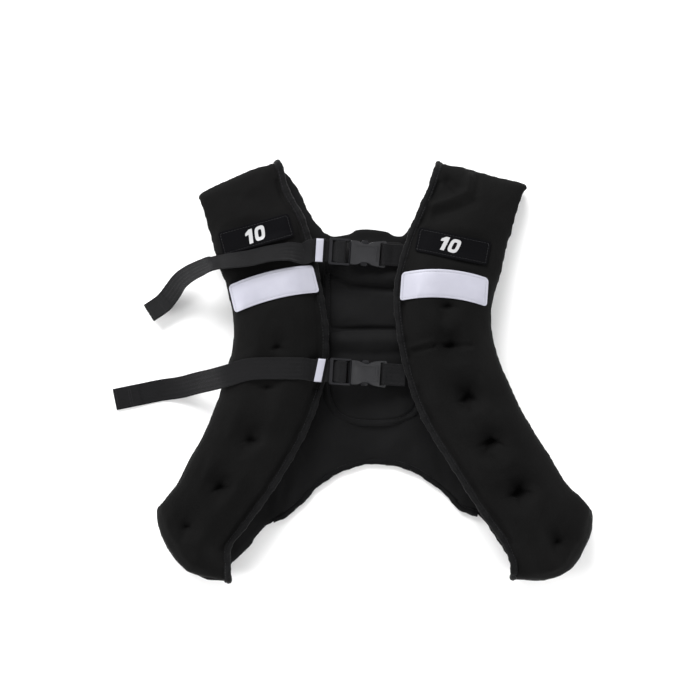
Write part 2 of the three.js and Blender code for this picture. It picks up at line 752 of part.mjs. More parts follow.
function rounded(width, height, radius) {
  const shape = new THREE.Shape();
  shape.absarc(width / 2 - radius, height / 2 - radius, radius, 0, Math.PI / 2);
  shape.absarc(-width / 2 + radius, height / 2 - radius, radius, Math.PI / 2, Math.PI);
  shape.absarc(-width / 2 + radius, -height / 2 + radius, radius, Math.PI, 1.5 * Math.PI);
  shape.absarc(width / 2 - radius, -height / 2 + radius, radius, 1.5 * Math.PI, 2 * Math.PI);
  return shape;
}

const block = (lowX, highX, halfY, halfZ, middleY = 0) =>
  solidOf(new THREE.BoxGeometry(highX - lowX, halfY * 2, halfZ * 2).translate(
    (lowX + highX) / 2, middleY, 0));

const extruded = (shape, thickness, bevel, segments = 3) => solidOf(new THREE.ExtrudeGeometry(shape, {
  depth: thickness - 2 * bevel,
  bevelEnabled: bevel > 0,
  bevelThickness: bevel,
  bevelSize: bevel,
  bevelOffset: -bevel,
  bevelSegments: 1,
  curveSegments: segments,
}).translate(0, 0, -thickness / 2 + bevel));

// Female half: a waisted body with a mouth, a window on each side and a bar for the anchor webbing.
function femaleHalf() {
  const side = [
    [0.3, 0.89], [waistStart - 2, 0.88], [waistStart + 2, 0.8], [waistEnd - 2, 0.8], [waistEnd + 3, 0.85],
    [bodyLength - 7, 0.96], [bodyLength - 1, 1], [bodyLength, 0.94],
  ].map(([run, share]) => new THREE.Vector2(run, share * halfBuckle));
  const mirrored = [...side].reverse().map((p) => new THREE.Vector2(p.x, -p.y));
  const body = extruded(new THREE.Shape([...side, ...mirrored]), buckleThickness, 1);
  const mouthHalf = halfBuckle * 0.74;
  const slotStart = bodyLength - endBarWidth - endSlotWidth;
  const mouthHeight = prongThickness / 2 + seamGap + 0.1;
  const slotHalfWidth = webbingWidth / 2 + 0.6;
  const lowered = buckleThickness / 2 - loweredEnd;
  const endTop = new THREE.BoxGeometry(bodyLength, buckleWidth * 2, buckleThickness);
  endTop.translate(slotStart - 1 + bodyLength / 2, 0, buckleThickness / 2 + lowered);
  const endUnder = endTop.clone().translate(0, 0, -buckleThickness - 2 * lowered);
  return body
    .subtract(block(-1, slotStart - 2.5, mouthHalf, mouthHeight))
    .subtract(block(waistStart, waistEnd, halfBuckle * 0.3, mouthHeight, halfBuckle * 0.9))
    .subtract(block(waistStart, waistEnd, halfBuckle * 0.3, mouthHeight, -halfBuckle * 0.9))
    .subtract(block(slotStart, bodyLength - endBarWidth, slotHalfWidth, buckleThickness))
    .subtract(solidOf(endTop))
    .subtract(solidOf(endUnder));
}

// Male half: a ladder of three bars, a guide and two prongs whose heads show in the windows.
function maleHalf() {
  const frame = rounded(shoulderRun + 0.8 - ladderEnd, buckleWidth, 2);
  const ladder = extruded(frame, barThickness, 0).translate([(shoulderRun + 0.8 + ladderEnd) / 2, 0, 0]);
  const slotHalfWidth = halfBuckle - railWidth;
  const headStart = waistStart + 1.2;
  const headEnd = waistEnd - 1.6;
  const parts = [block(-1, prongLength * 0.8, tongueHalf, prongThickness / 2)];
  for (const side of [1, -1]) {
    const prong = new THREE.Shape([
      [shoulderRun, 0.5], [waistStart, 0.46], [headEnd, 0.5], [prongLength, 0.55], [prongLength, 0.66],
      [headEnd + 1.2, 0.7], [headEnd, 0.92], [headStart, 0.93], [headStart, 0.66], [shoulderRun, 0.68],
    ].map(([run, share]) => new THREE.Vector2(run, side * share * halfBuckle)));
    parts.push(extruded(prong, prongThickness, 0));
    const railMiddle = side * (halfBuckle - railWidth / 2);
    parts.push(block(ladderEnd + railWidth, shoulderRun + 0.6, railWidth / 2, railHalf, railMiddle));
  }
  parts.push(block(shoulderRun + 0.1, shoulderRun + 0.7, slotHalfWidth, guideHalf));
  return parts.reduce((whole, piece) => whole.add(piece), ladder
    .subtract(block(midRight, shoulderRun, slotHalfWidth, barThickness))
    .subtract(block(leftRight, midLeft, slotHalfWidth, barThickness)));
}

// One fastening: both buckle halves, the anchor webbing, the keeper with its stripe and the adjusting strap.
function fasten(level, spot) {
  const x = spot.x * halfWidth;
  const y = spot.y * halfLength;
  const keeperHalf = webbingWidth / 2 + seamGap + keeperWall;
  const yaw = THREE.MathUtils.degToRad(buckleYaw);
  const flatMatrix = new THREE.Matrix4().makeRotationZ(yaw).setPosition(x, y, 0);
  const keeperCorners = [-1, 0, 1].flatMap((run) => [-1, 0, 1].map((side) => new THREE.Vector3(
    keeperRun + (run * keeperLength) / 2, side * keeperHalf, 0).applyMatrix4(flatMatrix)));
  const leftTop = Math.max(
    ...edgeHeights(left, y).map((z) => z + bindingHalf),
    ...keeperCorners.map((corner) => highestNear([left.mesh, left.binding], corner.x, corner.y, 3)),
  );
  const rightUnder = Math.min(...edgeHeights(right, y)) - bindingHalf;
  const anchorMiddle = rightUnder - seamGap - webbingThickness - seamGap / 2;
  const keeperMiddle = leftTop + seamGap + keeperWall + keeperStack / 2;
  const ladderMiddle = keeperMiddle - strapDip + (nearLayer + farLayer) / 2;
  const span = endBarMiddle - ladderEnd;
  const pitch = Math.asin((ladderMiddle - anchorMiddle) / span);
  const height = ladderMiddle + Math.sin(pitch) * ladderEnd;
  const turn = new THREE.Euler(0, pitch, yaw, 'ZYX');
  const spotMatrix = new THREE.Matrix4().makeRotationFromEuler(turn).setPosition(x, y, height);
  const across = new THREE.Vector3(0, 1, 0).transformDirection(flatMatrix);

  for (const [half, solid] of [['female', femaleHalf()], ['male', maleHalf()]]) {
    const mesh = add(`${level}_buckle_${half}`, geometryOf(solid), finishes.plastic);
    mesh.position.set(x, y, height);
    mesh.rotation.copy(turn);
  }

  // Anchor webbing from under the right panel, round the end bar and back.
  const onBuckle = (run, rise) => ({ at: new THREE.Vector3(run, 0, rise).applyMatrix4(spotMatrix), across });
  const onLevel = (run, high) => ({ at: new THREE.Vector3(run, 0, high).applyMatrix4(flatMatrix), across });
  const loopHalf = 1.9 + seamGap + webbingThickness / 2;
  const sewnHalf = webbingThickness / 2 + seamGap / 2;
  const anchorEnd = endBarMiddle + 22;
  const barFace = endBarMiddle - endBarWidth / 2;
  const turnPoints = [-90, -50, -18, 18, 50, 90].map((degrees) => {
    const angle = THREE.MathUtils.degToRad(degrees);
    return onBuckle(barFace + seamGap - 0.62 * endSlotWidth * Math.cos(angle), loopHalf * Math.sin(angle));
  });
  const anchorPath = [
    onLevel(anchorEnd, anchorMiddle - sewnHalf),
    onLevel(endBarMiddle + 8, anchorMiddle - sewnHalf),
    onBuckle(endBarMiddle + 1.6, -loopHalf),
    ...turnPoints,
    onBuckle(endBarMiddle + 1.6, loopHalf),
    onLevel(endBarMiddle + 8, anchorMiddle + sewnHalf),
    onLevel(anchorEnd, anchorMiddle + sewnHalf),
  ];
  add(`${level}_anchor_webbing`, ribbon(anchorPath, webbingWidth), finishes.webbing);

  // Keeper: a loop of elastic round both layers of the strap, with a stripe on top.
  const slope = Math.tan(THREE.MathUtils.degToRad(spot.slant));
  const slanted = (solid) => {
    const geometry = geometryOf(solid);
    const places = geometry.attributes.position;
    for (let i = 0; i < places.count; i += 1) {
      places.setX(i, places.getX(i) - places.getY(i) * slope);
    }
    return geometry.translate(keeperRun, 0, keeperMiddle).applyMatrix4(flatMatrix);
  };
  const keeperHigh = keeperStack / 2 + keeperWall;
  const stripeHigh = keeperHigh + seamGap + stripeThickness / 2;
  const outside = block(-keeperLength / 2, keeperLength / 2, keeperHalf, keeperHigh);
  const room = block(-keeperLength, keeperLength, webbingWidth / 2 + seamGap, keeperStack / 2);
  add(`${level}_keeper`, slanted(outside.subtract(room)), finishes.webbing);
  const stripe = block(-stripeWidth / 2, stripeWidth / 2, keeperHalf - 1, stripeThickness / 2);
  add(`${level}_keeper_stripe`, slanted(stripe.translate([0, 0, stripeHigh])), finishes.reflective);

  // Adjusting strap: sewn under the keeper, up through the ladder, over its bar and back as the free tail.
  const apart = (webbingThickness + seamGap) / 2;
  const straightRun = keeperLength / 2 + Math.abs(slope) * keeperHalf + seamGap;
  const inKeeper = (side, rise, more) =>
    onLevel(keeperRun + side * (straightRun + more), keeperMiddle + rise);
  const round = [-80, -40, 0, 40, 80].map((degrees) => {
    const angle = THREE.MathUtils.degToRad(degrees);
    const rise = (nearLayer - farLayer) / 2 + ((nearLayer + farLayer) / 2) * Math.sin(angle);
    return onBuckle(midRight - 0.4 + 0.5 * slotWidth * Math.cos(angle), rise);
  });
  const down = [0, 0.2, 0.4, 0.6, 0.8, 1].map((share) =>
    onBuckle(midLeft + 0.6 - share * (slotWidth + 0.8), nearLayer * Math.cos(Math.PI * share)));
  const sewnPart = [
    inKeeper(-1, -apart, 0.5),
    inKeeper(1, -apart, 0),
    inKeeper(1, -apart, 0.5),
    onBuckle(ladderEnd + 1, -farLayer),
    onBuckle(midLeft, -farLayer),
    onBuckle(midRight - 1, -farLayer),
  ];
  const through = [...round, ...down, onBuckle(ladderEnd + 1, -nearLayer)];
  const held = [[1, 0.5], [1, 0], [-1, 0], [-1, 2]].map(([side, more]) => inKeeper(side, apart, more));
  const tail = tailPath(held[3].at, spot.tail);
  const strap = ribbon([...sewnPart, ...through, ...held, ...tail], webbingWidth);
  add(`${level}_strap`, lyingOn(strap, [left.mesh, leftLabel, leftBand]), finishes.webbing);
}

// Free tail from its keeper over the left panel, its patches and the panel's edge to the floor.
function tailPath(start, rows) {
  const under = [left.mesh, left.binding, leftLabel, leftBand];
  const spots = rows.map((row) => new THREE.Vector3(row.x * halfWidth, row.y * halfLength, 0));
  const places = [start, ...spots];
  const numbers = [[0, 0], ...rows.map((row) => [row.roll, row.high])];
  const line = new THREE.CatmullRomCurve3(
    places.map((p) => new THREE.Vector3(p.x, p.y, 0)), false, 'centripetal');
  const values = new THREE.CatmullRomCurve3(
    numbers.map(([roll, high]) => new THREE.Vector3(roll, high, 0)), false, 'centripetal');
  const count = (places.length - 1) * 3;
  const length = line.getLength();
  let leaving = 0;
  return Array.from({ length: count }, (unused, i) => {
    const share = (i + 1) / count;
    const at = line.getPoint(share);
    const run = line.getTangent(share);
    const roll = THREE.MathUtils.degToRad(values.getPoint(share).x);
    const high = Math.max(0, values.getPoint(share).y);
    const flat = new THREE.Vector3().crossVectors(run, up).normalize();
    const across = flat.clone().multiplyScalar(Math.cos(roll)).addScaledVector(up, -Math.sin(roll));
    let clear = 0;
    for (const offset of [-0.5, -0.25, 0, 0.25, 0.5]) {
      const reach = offset * webbingWidth;
      const found = highestNear(under, at.x + across.x * reach, at.y + across.y * reach, 3.5);
      clear = Math.max(clear, found - across.z * reach);
    }
    const folded = (1 - share) * length < hemLength;
    const thick = folded ? webbingThickness * 2 : webbingThickness;
    clear += seamGap + thick / 2;
    if (high < 0.05 && share < 0.7) leaving = clear;
    at.z = Math.max(clear, high * leaving);
    return { at, across, thick };
  }).filter((point) => Math.hypot(point.at.x - start.x, point.at.y - start.y) > webbingWidth / 3);
}

fasten('upper', fastenings.upper);
fasten('lower', fastenings.lower);

export default vest;
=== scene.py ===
"""Looks of a padded weighted vest lying on its back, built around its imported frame."""

import sys

import json
import logging
import math
from dataclasses import dataclass, field
from enum import Enum
from typing import Optional, Sequence

import bmesh
import bpy
import numpy as np
from mathutils import Matrix, Vector
from mathutils.bvhtree import BVHTree

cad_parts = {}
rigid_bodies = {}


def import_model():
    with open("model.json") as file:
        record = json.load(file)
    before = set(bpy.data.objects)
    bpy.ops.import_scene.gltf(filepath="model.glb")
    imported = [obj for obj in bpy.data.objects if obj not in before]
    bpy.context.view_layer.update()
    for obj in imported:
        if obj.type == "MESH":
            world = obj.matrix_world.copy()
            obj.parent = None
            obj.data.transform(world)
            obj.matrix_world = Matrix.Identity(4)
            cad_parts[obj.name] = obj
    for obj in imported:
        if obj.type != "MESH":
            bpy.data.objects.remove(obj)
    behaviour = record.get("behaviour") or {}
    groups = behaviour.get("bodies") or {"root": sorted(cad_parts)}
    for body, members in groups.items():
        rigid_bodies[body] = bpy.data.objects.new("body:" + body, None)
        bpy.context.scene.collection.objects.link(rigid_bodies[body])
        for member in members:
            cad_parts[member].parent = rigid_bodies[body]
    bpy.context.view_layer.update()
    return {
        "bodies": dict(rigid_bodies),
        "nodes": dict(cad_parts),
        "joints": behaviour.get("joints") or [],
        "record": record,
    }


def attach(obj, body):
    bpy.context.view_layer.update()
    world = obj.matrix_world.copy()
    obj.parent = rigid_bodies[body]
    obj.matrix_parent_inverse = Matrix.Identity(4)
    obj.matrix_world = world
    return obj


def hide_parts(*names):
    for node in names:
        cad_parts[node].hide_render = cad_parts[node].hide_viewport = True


LOG = logging.getLogger("vest")
MM = 0.001
HALF_WIDTH = 242.0
HALF_LENGTH = 233.0
GAP = 0.3
EDGE_THICKNESS = 5.5
SHOULDER_THICKNESS = 11.0
FRONT_THICKNESS = 28.0
LOBE_THICKNESS = 26.0
LOBE_SEAM = 20.0
SHOULDER_LIFT = 19.0
SHOULDER_RADIUS = 9.5
LOBE_LIFT = 28.0
LOBE_RADIUS = 17.0
WEBBING_WIDTH = 24.0
WEBBING_THICKNESS = 1.3
TAPE_HALF = 3.5
PATCH_CURVE = math.pi / 2 * 0.86
FULL_TURN = 6.28
CLOTH_STEPS = 20
FLOOR_CLEARANCE = 0.05
SENSOR_WIDTH = 36.0
LOOKOUT_HEIGHT = 500.0
BEVEL_ANGLE = 38.0
SHARP_ANGLE = 42.0
BED_PASSES = 60
TAIL_PASSES = 30

LEFT_ROWS = np.array([
    [-0.407, 0.953, -0.775, 0.783, 0.39, 0.0, 0.0],
    [-0.382, 0.854, -0.755, 0.703, 0.43, 0.15, 0.0],
    [-0.314, 0.726, -0.723, 0.585, 0.52, 0.58, 0.0],
    [-0.268, 0.571, -0.686, 0.462, 0.72, 0.85, 0.0],
    [-0.232, 0.382, -0.641, 0.311, 0.93, 0.85, 0.0],
    [-0.205, 0.203, -0.632, 0.16, 1.0, 0.85, 0.0],
    [-0.209, 0.024, -0.655, 0.028, 1.0, 0.85, 0.0],
    [-0.277, -0.231, -0.736, -0.231, 1.0, 0.88, 0.0],
    [-0.418, -0.505, -0.85, -0.458, 1.0, 0.92, 0.0],
    [-0.555, -0.708, -0.882, -0.533, 0.97, 0.97, 0.02],
    [-0.645, -0.835, -0.898, -0.585, 0.94, 1.0, 0.045],
    [-0.645, -0.915, -0.902, -0.604, 0.93, 1.0, 0.058],
])
RIGHT_ROWS = np.array([
    [0.284, 0.943, 0.68, 0.821, 0.39, 0.0, 0.0],
    [0.255, 0.854, 0.659, 0.741, 0.43, 0.15, 0.0],
    [0.2, 0.726, 0.627, 0.608, 0.52, 0.58, 0.0],
    [0.145, 0.571, 0.591, 0.467, 0.72, 0.85, 0.0],
    [0.105, 0.382, 0.55, 0.316, 0.93, 0.85, 0.0],
    [0.114, 0.212, 0.55, 0.17, 1.0, 0.85, 0.0],
    [0.145, 0.033, 0.59, 0.03, 1.0, 0.85, 0.0],
    [0.223, -0.208, 0.686, -0.189, 1.0, 0.88, 0.0],
    [0.37, -0.462, 0.818, -0.42, 1.0, 0.92, 0.0],
    [0.495, -0.665, 0.884, -0.533, 0.97, 0.97, 0.025],
    [0.595, -0.811, 0.923, -0.59, 0.94, 1.0, 0.06],
    [0.632, -0.901, 0.932, -0.615, 0.93, 1.0, 0.078],
])
UPPER_TAIL = np.array([
    [-0.3, 0.552, 12, 0], [-0.373, 0.559, 34, 0], [-0.464, 0.55, 42, 0], [-0.555, 0.528, 42, 0],
    [-0.636, 0.517, 46, 0], [-0.705, 0.507, 50, 0.98], [-0.764, 0.488, 46, 0.85],
    [-0.827, 0.458, 42, 0.62], [-0.873, 0.425, 36, 0.42], [-0.909, 0.377, 28, 0.28],
    [-0.95, 0.325, 26, 0.17], [-1.02, 0.274, 26, 0.15],
])
LOWER_TAIL = np.array([
    [-0.305, 0.012, 0, 0], [-0.418, 0.014, 0, 0], [-0.555, 0.009, 0, 0], [-0.655, -0.021, 0, 0.97],
    [-0.723, -0.04, 0, 0.72], [-0.795, -0.057, 0, 0.38], [-0.873, -0.078, 0, 0.12],
    [-0.964, -0.092, 0, 0], [-1.055, -0.111, 0, 0], [-1.178, -0.137, 0, 0],
])
HEM_PATH = np.array([
    [-109, -167], [-95.6, -160.5], [-77, -145], [-59.3, -126.3], [-29.8, -108.8], [0, -101.8],
    [36.3, -106.7], [66, -123], [85.9, -139.6], [96.8, -152.8], [106, -156.5], [117, -160],
])


def spline(points: np.ndarray, shares: np.ndarray) -> np.ndarray:
    """Centripetal curve through points, with equal shares between neighbours.

    Args:
        points: The points that the curve passes, one row each.
        shares: Places from 0, the first point, to 1, the last.

    Returns:
        One row for each share.
    """
    pts = np.asarray(points, float)
    ends = np.vstack([2 * pts[0] - pts[1], pts, 2 * pts[-1] - pts[-2]])
    last = len(pts) - 1
    place = np.clip(np.asarray(shares, float), 0, 1) * last
    cell = np.minimum(place.astype(int), last - 1)
    w = (place - cell)[:, None]
    p0, p1, p2, p3 = (ends[cell + k] for k in range(4))
    d0, d1, d2 = (np.sum((b - a) ** 2, axis=1, keepdims=True) ** 0.25
                  for a, b in ((p0, p1), (p1, p2), (p2, p3)))
    d1 = np.where(d1 < 1e-4, 1.0, d1)
    d0 = np.where(d0 < 1e-4, d1, d0)
    d2 = np.where(d2 < 1e-4, d1, d2)
    t1 = ((p1 - p0) / d0 - (p2 - p0) / (d0 + d1) + (p2 - p1) / d1) * d1
    t2 = ((p2 - p1) / d1 - (p3 - p1) / (d1 + d2) + (p3 - p2) / d2) * d1
    square = -3 * p1 + 3 * p2 - 2 * t1 - t2
    cube = 2 * p1 - 2 * p2 + t1 + t2
    return p1 + t1 * w + square * w ** 2 + cube * w ** 3


def unit(rows: np.ndarray) -> np.ndarray:
    """Rows scaled to length one."""
    return rows / np.maximum(np.linalg.norm(rows, axis=-1, keepdims=True), 1e-9)


def smoothstep(value: np.ndarray) -> np.ndarray:
    """Soft step from 0 to 1."""
    t = np.clip(value, 0, 1)
    return t * t * (3 - 2 * t)


def lengths(points: np.ndarray) -> np.ndarray:
    """Run along a path at each of its points, from 0."""
    return np.concatenate([[0.0], np.cumsum(np.linalg.norm(np.diff(points, axis=0), axis=1))])


def resampled(rows: np.ndarray, step: float) -> np.ndarray:
    """Path with a point about every step along its first three columns, other columns carried along.

    Args:
        rows: Path, one row for each point.
        step: Wanted distance between points in mm.

    Returns:
        The new rows.
    """
    run = lengths(rows[:, :3])
    count = max(2, int(round(run[-1] / step)) + 1)
    at = np.linspace(0, run[-1], count)
    return np.stack([np.interp(at, run, rows[:, k]) for k in range(rows.shape[1])], axis=1)


def relaxed(rows: np.ndarray, passes: int) -> np.ndarray:
    """Path with its corners softened and its two ends kept.

    Args:
        rows: Path, one row for each point.
        passes: How many times the corners are softened.

    Returns:
        The new rows.
    """
    out = rows.copy()
    for _ in range(passes):
        out[1:-1] = out[1:-1] * 0.5 + (out[:-2] + out[2:]) * 0.25
    return out


def distance_to_path(xy: np.ndarray, path: np.ndarray) -> np.ndarray:
    """Distance of points from a path, in as many columns as both have.

    Args:
        xy: Points, one row each.
        path: Corners of the path.

    Returns:
        One distance for each point.
    """
    best = np.full(len(xy), 1e9)
    for a, b in zip(path[:-1], path[1:]):
        run = b - a
        t = np.clip((xy - a) @ run / max(run @ run, 1e-9), 0, 1)
        best = np.minimum(best, np.linalg.norm(xy - a - t[:, None] * run, axis=1))
    return best


def waves(co: np.ndarray, wavelength: float, seed: int) -> np.ndarray:
    """Soft uneven swell, about -1 to 1, the same on each run.

    Args:
        co: Points in mm.
        wavelength: Typical distance between crests in mm.
        seed: Picks one of many swells.

    Returns:
        One value for each point.
    """
    rng = np.random.default_rng(seed)
    total = np.zeros(len(co))
    for _ in range(9):
        turn = unit(rng.normal(size=3))
        pace = 2 * math.pi / (wavelength * rng.uniform(0.7, 1.5))
        total += np.sin(co @ turn * pace + rng.uniform(0, FULL_TURN))
    return total / 4.0


def new_object(
    name: str, places: np.ndarray, faces: Sequence[Sequence[int]], scale: float = MM
) -> bpy.types.Object:
    """Mesh object from points in mm.

    Args:
        name: Name of the object and its mesh.
        places: Points, one row each.
        faces: Corner numbers of each face.
        scale: Metres for each unit of the points.

    Returns:
        The linked object, shaded smooth.
    """
    mesh = bpy.data.meshes.new(name)
    mesh.from_pydata((np.asarray(places, float) * scale).tolist(), [], [list(f) for f in faces])
    mesh.update()
    mesh.shade_smooth()
    obj = bpy.data.objects.new(name, mesh)
    bpy.context.scene.collection.objects.link(obj)
    return obj


def settle(obj: bpy.types.Object) -> None:
    """Turns an object's modifiers into its own plain mesh.

    Args:
        obj: Object with modifiers.
    """
    depsgraph = bpy.context.evaluated_depsgraph_get()
    mesh = bpy.data.meshes.new_from_object(obj.evaluated_get(depsgraph))
    obj.modifiers.clear()
    old = obj.data
    obj.data = mesh
    bpy.data.meshes.remove(old)
    mesh.name = obj.name


def places_of(obj: bpy.types.Object) -> np.ndarray:
    """Points of an object's mesh in mm.

    Args:
        obj: Object with a mesh.

    Returns:
        One row for each point.
    """
    co = np.empty(len(obj.data.vertices) * 3)
    obj.data.vertices.foreach_get("co", co)
    return co.reshape(-1, 3) / MM


def set_places(obj: bpy.types.Object, co: np.ndarray) -> None:
    """Moves the points of an object's mesh to places in mm."""
    obj.data.vertices.foreach_set("co", (co * MM).ravel())
    obj.data.update()


def normals_of(obj: bpy.types.Object) -> np.ndarray:
    """Directions that an object's points face.

    Args:
        obj: Object with a mesh.

    Returns:
        One direction for each point.
    """
    out = np.empty(len(obj.data.vertices) * 3)
    obj.data.vertices.foreach_get("normal", out)
    return out.reshape(-1, 3)


def face_outward(mesh: bpy.types.Mesh) -> None:
    """Turns a closed mesh's faces outward.

    Args:
        mesh: Closed mesh, its faces all turned alike.
    """
    work = bmesh.new()
    work.from_mesh(mesh)
    volume = work.calc_volume(signed=True)
    work.free()
    if volume < 0:
        mesh.flip_normals()


def ease(
    obj: bpy.types.Object, co: np.ndarray, passes: int, weight: Optional[np.ndarray] = None
) -> np.ndarray:
    """Smooths points over a mesh without shrinking it.

    Args:
        obj: Object whose edges join the points.
        co: Points in mm.
        passes: How many times each point moves towards its neighbours and back.
        weight: Share of the move for each point.

    Returns:
        The smoothed points.
    """
    edges = np.empty(len(obj.data.edges) * 2, dtype=np.int64)
    obj.data.edges.foreach_get("vertices", edges)
    edges = edges.reshape(-1, 2)
    a = np.concatenate([edges[:, 0], edges[:, 1]])
    b = np.concatenate([edges[:, 1], edges[:, 0]])
    degree = np.maximum(np.bincount(a, minlength=len(co)), 1)[:, None]
    share = 1.0 if weight is None else weight[:, None]
    out = co.copy()
    for _ in range(passes):
        for factor in (0.5, -0.52):
            mean = np.stack([np.bincount(a, out[b, k], len(co)) for k in range(3)], axis=1) / degree
            out = out + (mean - out) * factor * share
    return out


def tube(name: str, rings: np.ndarray, along: Optional[np.ndarray] = None) -> bpy.types.Object:
    """Closed mesh through rings of equal length, with a UV map in metres along and round it.

    Args:
        name: Name of the piece.
        rings: Points in mm, indexed by ring, place in the ring and axis.
        along: Run of each ring in mm; the middle of the rings gives it if left out.

    Returns:
        The linked object.
    """
    n, m = rings.shape[:2]
    along = lengths(rings.mean(axis=1)) if along is None else along
    around = lengths(np.vstack([rings[n // 2], rings[n // 2][:1]]))
    k, i = (v.ravel() for v in np.meshgrid(np.arange(n - 1), np.arange(m), indexing="ij"))
    quads = np.stack([k * m + i, k * m + (i + 1) % m, (k + 1) * m + (i + 1) % m, (k + 1) * m + i], axis=1)
    caps = [list(range(m))[::-1], list(range((n - 1) * m, n * m))]
    obj = new_object(name, rings.reshape(-1, 3), quads.tolist() + caps)
    layer = obj.data.uv_layers.new(name="run")
    uv = np.zeros((len(obj.data.loops), 2))
    us = np.stack([along[k], along[k], along[k + 1], along[k + 1]], axis=1).ravel()
    vs = np.stack([around[i], around[i + 1], around[i + 1], around[i]], axis=1).ravel()
    uv[: len(us)] = np.stack([us, vs], axis=1) * MM
    layer.data.foreach_set("uv", uv.ravel())
    face_outward(obj.data)
    return obj


class Surface:
    """Heights of pieces, read by looking straight down on them."""

    def __init__(self, objects: Sequence[bpy.types.Object]) -> None:
        """Keeps the faces of the objects, in mm.

        Args:
            objects: Pieces that may be looked down on.
        """
        places: list = []
        faces: list = []
        for obj in objects:
            base = len(places)
            places.extend(places_of(obj).tolist())
            faces.extend([base + v for v in face.vertices] for face in obj.data.polygons)
        self.tree = BVHTree.FromPolygons(places, faces)

    def height(self, x: float, y: float) -> float:
        """Height of the highest face at a place, or the floor."""
        hit = self.tree.ray_cast(Vector((x, y, LOOKOUT_HEIGHT)), Vector((0, 0, -1)))[0]
        return hit.z if hit is not None else 0.0

    def highest(self, x: float, y: float, reach: float) -> float:
        """Highest face within a small square round a place."""
        spots = (-reach, 0.0, reach)
        return max(self.height(x + dx, y + dy) for dx in spots for dy in spots)


class Pattern(Enum):
    """Fine structure of a finish."""

    KNIT = "knit_face"
    RIBS = "ribbed_tape"
    CHEVRON = "chevron_weave"
    BEADS = "reflective_beads"
    MOULDED = "moulded_skin"


class Nodes:
    """Short way to place and join shader or geometry nodes in a tree."""

    def __init__(self, tree: bpy.types.NodeTree) -> None:
        """Keeps the tree."""
        self.tree = tree

    def put(self, kind: str, inputs: Optional[dict] = None, **settings: object) -> bpy.types.Node:
        """Adds a node.

        Args:
            kind: Type of the node.
            inputs: Value or source socket for each input, by name or number.
            settings: Properties of the node.

        Returns:
            The new node.
        """
        node = self.tree.nodes.new(kind)
        for key, value in settings.items():
            setattr(node, key, value)
        for key, value in (inputs or {}).items():
            if isinstance(value, bpy.types.NodeSocket):
                self.tree.links.new(value, node.inputs[key])
            else:
                node.inputs[key].default_value = value
        return node

    def math(self, operation: str, a: object, b: object = 0.0, c: object = 0.0) -> bpy.types.NodeSocket:
        """Result of a Math node."""
        return self.put("ShaderNodeMath", {0: a, 1: b, 2: c}, operation=operation).outputs[0]


def shader_group(name: str, inputs: dict, outputs: Sequence[str]) -> tuple:
    """New shader node group with named sockets.

    Args:
        name: Name of the group.
        inputs: Socket type and default for each input name.
        outputs: Names of the float outputs.

    Returns:
        The group, its helper, and its input and output nodes.
    """
    tree = bpy.data.node_groups.new(name, "ShaderNodeTree")
    for key, (kind, default) in inputs.items():
        socket = tree.interface.new_socket(name=key, in_out="INPUT", socket_type=kind)
        if default is not None:
            socket.default_value = default
    for key in outputs:
        tree.interface.new_socket(name=key, in_out="OUTPUT", socket_type="NodeSocketFloat")
    return tree, Nodes(tree), tree.nodes.new("NodeGroupInput"), tree.nodes.new("NodeGroupOutput")


